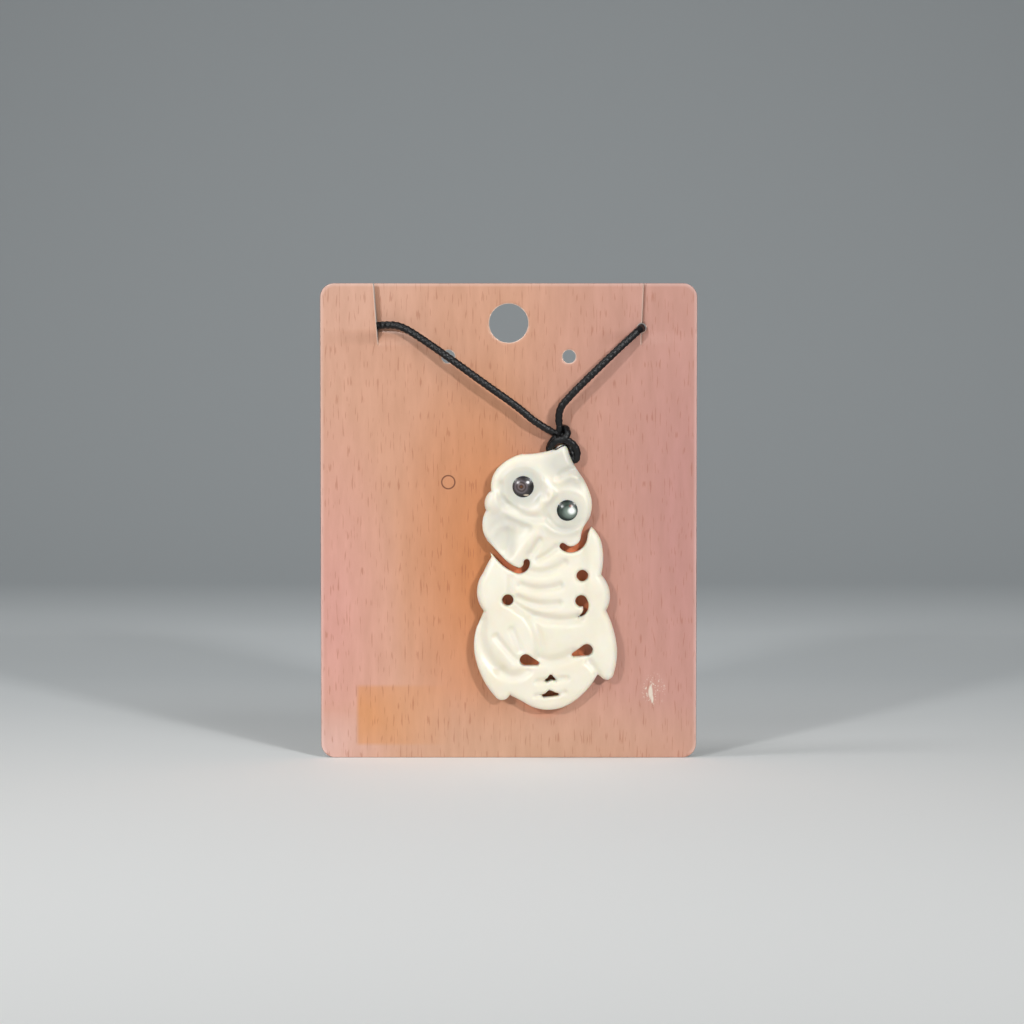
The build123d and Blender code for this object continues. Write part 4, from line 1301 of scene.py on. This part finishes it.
def beech_print():
    """From the bottom up: clouds, block, painted bounce light, grain, flecks, ring, scuffs, edges.
    """
    material, tree, shader = finish(
        "beech_print", Roughness=0.38, Coat_Weight=0.2, Coat_Roughness=0.3
    )
    place = object_place(tree)
    tone = PRINT_BASE
    # clouds of the print; the one on the right side is partly painted shade
    for centre, size, soft, colour in PRINT_AND_SHADE_CLOUDS:
        tone = blend(tree, cloud(tree, centre, size, soft), tone, colour)
    warm = share_of(tree, block(tree, *WARM_BLOCK), WARM_SHARE)
    warm = share_of(tree, warm, fade(tree, from_place(tree, WARM_START), *WARM_FADE))
    tone = blend(tree, warm, tone, rgb(204, 134, 62))
    # painted bounce light: warm light come off the bone and the card behind the pendant
    tone = blend(tree, cloud(tree, *PAINTED_BOUNCE_BEHIND_BONE), tone, rgb(222, 126, 80))
    grain = noise(tree, object_place(tree, GRAIN_SCALE), 1.0, detail=5.0, roughness=0.6)
    shade = ramp(tree, grain, (0.3, (0.86, 0.84, 0.80, 1)), (0.7, (1.04, 1.05, 1.07, 1)))
    tone = blend(tree, GRAIN_SHARE, tone, shade, "MULTIPLY")
    fleck = noise(tree, object_place(tree, FLECK_SCALE), 1.0, detail=1.0, roughness=0.3)
    fleck_mask = ramp(tree, fleck, (0.64, (0, 0, 0, 1)), (0.70, (1, 1, 1, 1)))
    tone = blend(tree, share_of(tree, fleck_mask, FLECK_SHARE), tone, rgb(150, 82, 50))
    # the groove is not in the net, so this dark line is partly painted shade of the groove
    scored = ring(tree, *SCORED_RING)
    tone = blend(tree, share_of(tree, scored, SCORED_SHARE), tone, rgb(92, 44, 24))
    unworn = math_node(tree, "SUBTRACT", 1.0, noise(tree, place, 2.2, detail=4.0, roughness=0.7))
    for centre, size, worn in SCUFFS:
        patch = fade(tree, from_place(tree, centre, size), 0.7, 1.15)
        scuffed = share_of(tree, patch, fade(tree, unworn, worn - 0.02, worn + 0.03))
        tone = blend(tree, share_of(tree, scuffed, SCUFF_SHARE), tone, rgb(214, 204, 188))
    # pale cut edges: partly wear, partly a painted highlight
    cut_wear_and_sheen = fade(tree, from_net(tree, "from_cut"), 0.03, 0.22)
    tone = blend(tree, share_of(tree, cut_wear_and_sheen, 0.7), tone, rgb(244, 222, 205))
    outline = from_net(tree, "from_outline")
    # painted highlight along the outline, left out at the foot
    painted_edge_sheen = share_of(tree, fade(tree, outline, 0.15, 0.85), cloud(tree, *ABOVE_FOOT))
    tone = blend(tree, share_of(tree, painted_edge_sheen, 0.22), tone, rgb(246, 226, 220))
    dark_rim = fade(tree, outline, 0.04, 0.14)
    tone = blend(tree, share_of(tree, dark_rim, 0.7), tone, rgb(96, 62, 60))
    tree.links.new(tone, shader.inputs["Base Color"])
    bump(tree, shader, noise(tree, place, 0.35, detail=1.0), 0.1, 0.05)
    return material


print("print of", len(PRINT_AND_SHADE_CLOUDS), "clouds and", len(SCUFFS), "scuffs")

# %% [markdown]
# ## The card in two finishes
# Only the front is printed. The back and all cut edges show bare board, so each face of the mesh
# is told which of the two it wears. The narrow walls are shaded flat.

# %% Printed front and bare back
def bare_board():
    """The unprinted back and the cut edges: pale pulp, a little uneven."""
    material, tree, shader = finish("bare_board", Roughness=0.8)
    fibre = noise(tree, object_place(tree), 1.2, detail=4.0)
    tone = ramp(tree, fibre, (0.3, rgb(205, 196, 184)), (0.7, rgb(226, 219, 208)))
    tree.links.new(tone, shader.inputs["Base Color"])
    bump(tree, shader, fibre, 0.2, 0.04)
    return material


card = new_piece("printed_card", card_points, thick(card_faces, len(card_x)), beech_print())
card.data.materials.append(bare_board())
face_number = np.arange(len(card.data.polygons))
card.data.polygons.foreach_set("material_index", (face_number >= len(card_faces)).astype(int))
card.data.polygons.foreach_set("use_smooth", face_number < 2 * len(card_faces))
for name, values in (("from_outline", from_outline), ("from_cut", card_cut)):
    attribute = card.data.attributes.new(name, "FLOAT", "POINT")
    attribute.data.foreach_set("value", np.tile(values, 2))
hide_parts("card")
print("card of", len(face_number), "faces, printed on", len(card_faces))

# %% [markdown]
# ## Floor and light
# The pale floor runs back and curves up behind, so that no corner shows. Its colour changes with
# depth as painted light and shade. Two small low lamps in front, left and right, throw the card's
# shadows back along the floor and the cord's shadows on the card. Two wider lamps above them
# soften this light, and two more light the floor and the backdrop from above. A lamp's spread
# narrows its beam, so a narrow lamp needs fewer watts.

# %% Floor
FLOOR_FRONT = -2500.0
FLOOR_BEHIND = 520.0
FLOOR_BEND = 700.0
FLOOR_HALF = 3000.0
FLOOR_STEPS = 24
WALL_HEIGHT = 2500.0
PAINTED_FLOOR_LIGHT = [
    # share of the way back to where the floor starts to bend, colour of painted light and shade
    (0.0, rgb(238, 239, 238)),
    (0.35, rgb(228, 232, 233)),
    (0.6, rgb(234, 238, 239)),
    (1.0, rgb(205, 210, 212)),
]


def sweep_floor():
    """A profile of y and z, flat, then a quarter circle, then upright, drawn out along x."""
    bend = np.linspace(0, np.pi / 2, FLOOR_STEPS)
    curve_y = FLOOR_BEHIND + FLOOR_BEND * np.sin(bend)
    y = np.concatenate([[FLOOR_FRONT], curve_y, [FLOOR_BEHIND + FLOOR_BEND]])[:, None]
    z = np.concatenate([[0], FLOOR_BEND * (1 - np.cos(bend)), [WALL_HEIGHT]])[:, None]
    x = np.array([-FLOOR_HALF, FLOOR_HALF])
    points = np.stack(np.broadcast_arrays(x, y, z + CARD_BOTTOM), axis=-1).reshape(-1, 3)
    return points, grid_faces(len(y), 2, False).tolist()


def pale_floor():
    """A matt floor whose tone follows how far back it lies, as painted light and shade."""
    material, tree, shader = finish("pale_floor", Roughness=0.7, Specular_IOR_Level=0.15)
    split = node(tree, "ShaderNodeSeparateXYZ", {"Vector": object_place(tree)})
    depth = math_node(tree, "DIVIDE", split.outputs["Y"], FLOOR_BEHIND)
    # painted light and shade: the floor's colour follows its depth
    tree.links.new(ramp(tree, depth, *PAINTED_FLOOR_LIGHT), shader.inputs["Base Color"])
    return material


floor = new_object("floor", *sweep_floor(), pale_floor())
floor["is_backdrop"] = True
print("floor", round(-FLOOR_FRONT + FLOOR_BEHIND + FLOOR_BEND), "mm deep")

# %% Lamps
LAMPS = [
    # name, place in mm, aimed at in mm, width and height in mm, spread in degrees, watts
    ("lamp_low_left", (-413, -858, 267), (0, 60, -60), 90, 60, 60, 0.34),
    ("lamp_low_right", (413, -858, 267), (0, 60, -60), 90, 60, 60, 0.44),
    ("lamp_high_left", (-289, -567, 544), (0, 40, -70), 260, 260, 80, 0.12),
    ("lamp_high_right", (289, -567, 544), (0, 40, -70), 260, 260, 80, 0.24),
    ("lamp_floor", (-400, -150, 620), (-250, -190, -92), 200, 200, 100, 0.52),
    ("lamp_backdrop", (0, 260, 800), (60, 1050, -20), 700, 200, 130, 1.0),
]
WORLD_TONE = rgb(205, 210, 213)
WORLD_STRENGTH = 0.18

for lamp_name, place, aim, width, height, spread, watts in LAMPS:
    data = bpy.data.lights.new(lamp_name, "AREA")
    data.shape = "RECTANGLE"
    data.size, data.size_y = width * MM, height * MM
    data.spread = math.radians(spread)
    data.energy = watts
    lamp = bpy.data.objects.new(lamp_name, data)
    lamp.location = [c * MM for c in place]
    direction = np.array(aim, float) - np.array(place, float)
    lamp.rotation_euler = (
        math.atan2(math.hypot(direction[0], direction[1]), -direction[2]),
        0,
        math.atan2(direction[1], direction[0]) - math.pi / 2,
    )
    bpy.context.scene.collection.objects.link(lamp)

world = bpy.data.worlds.new("studio")
bpy.context.scene.world = world
world.use_nodes = True
background = world.node_tree.nodes["Background"]
background.inputs["Color"].default_value = WORLD_TONE
background.inputs["Strength"].default_value = WORLD_STRENGTH
bpy.context.scene.view_settings.view_transform = "Standard"
print("lamps:", [row[0] for row in LAMPS])

# %% [markdown]
# ## Sizes at the end
# The box round the measured solids and the box round the finished pieces are printed side by
# side. Each surface is built to stand where its solid does.

# %% Sizes at the end
size = {
    "cad": [list(map(float, corner)) for corner in cad_box],
    "visual": [list(map(float, corner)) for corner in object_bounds()],
}
print("cad box", size["cad"], "visual box", size["visual"])
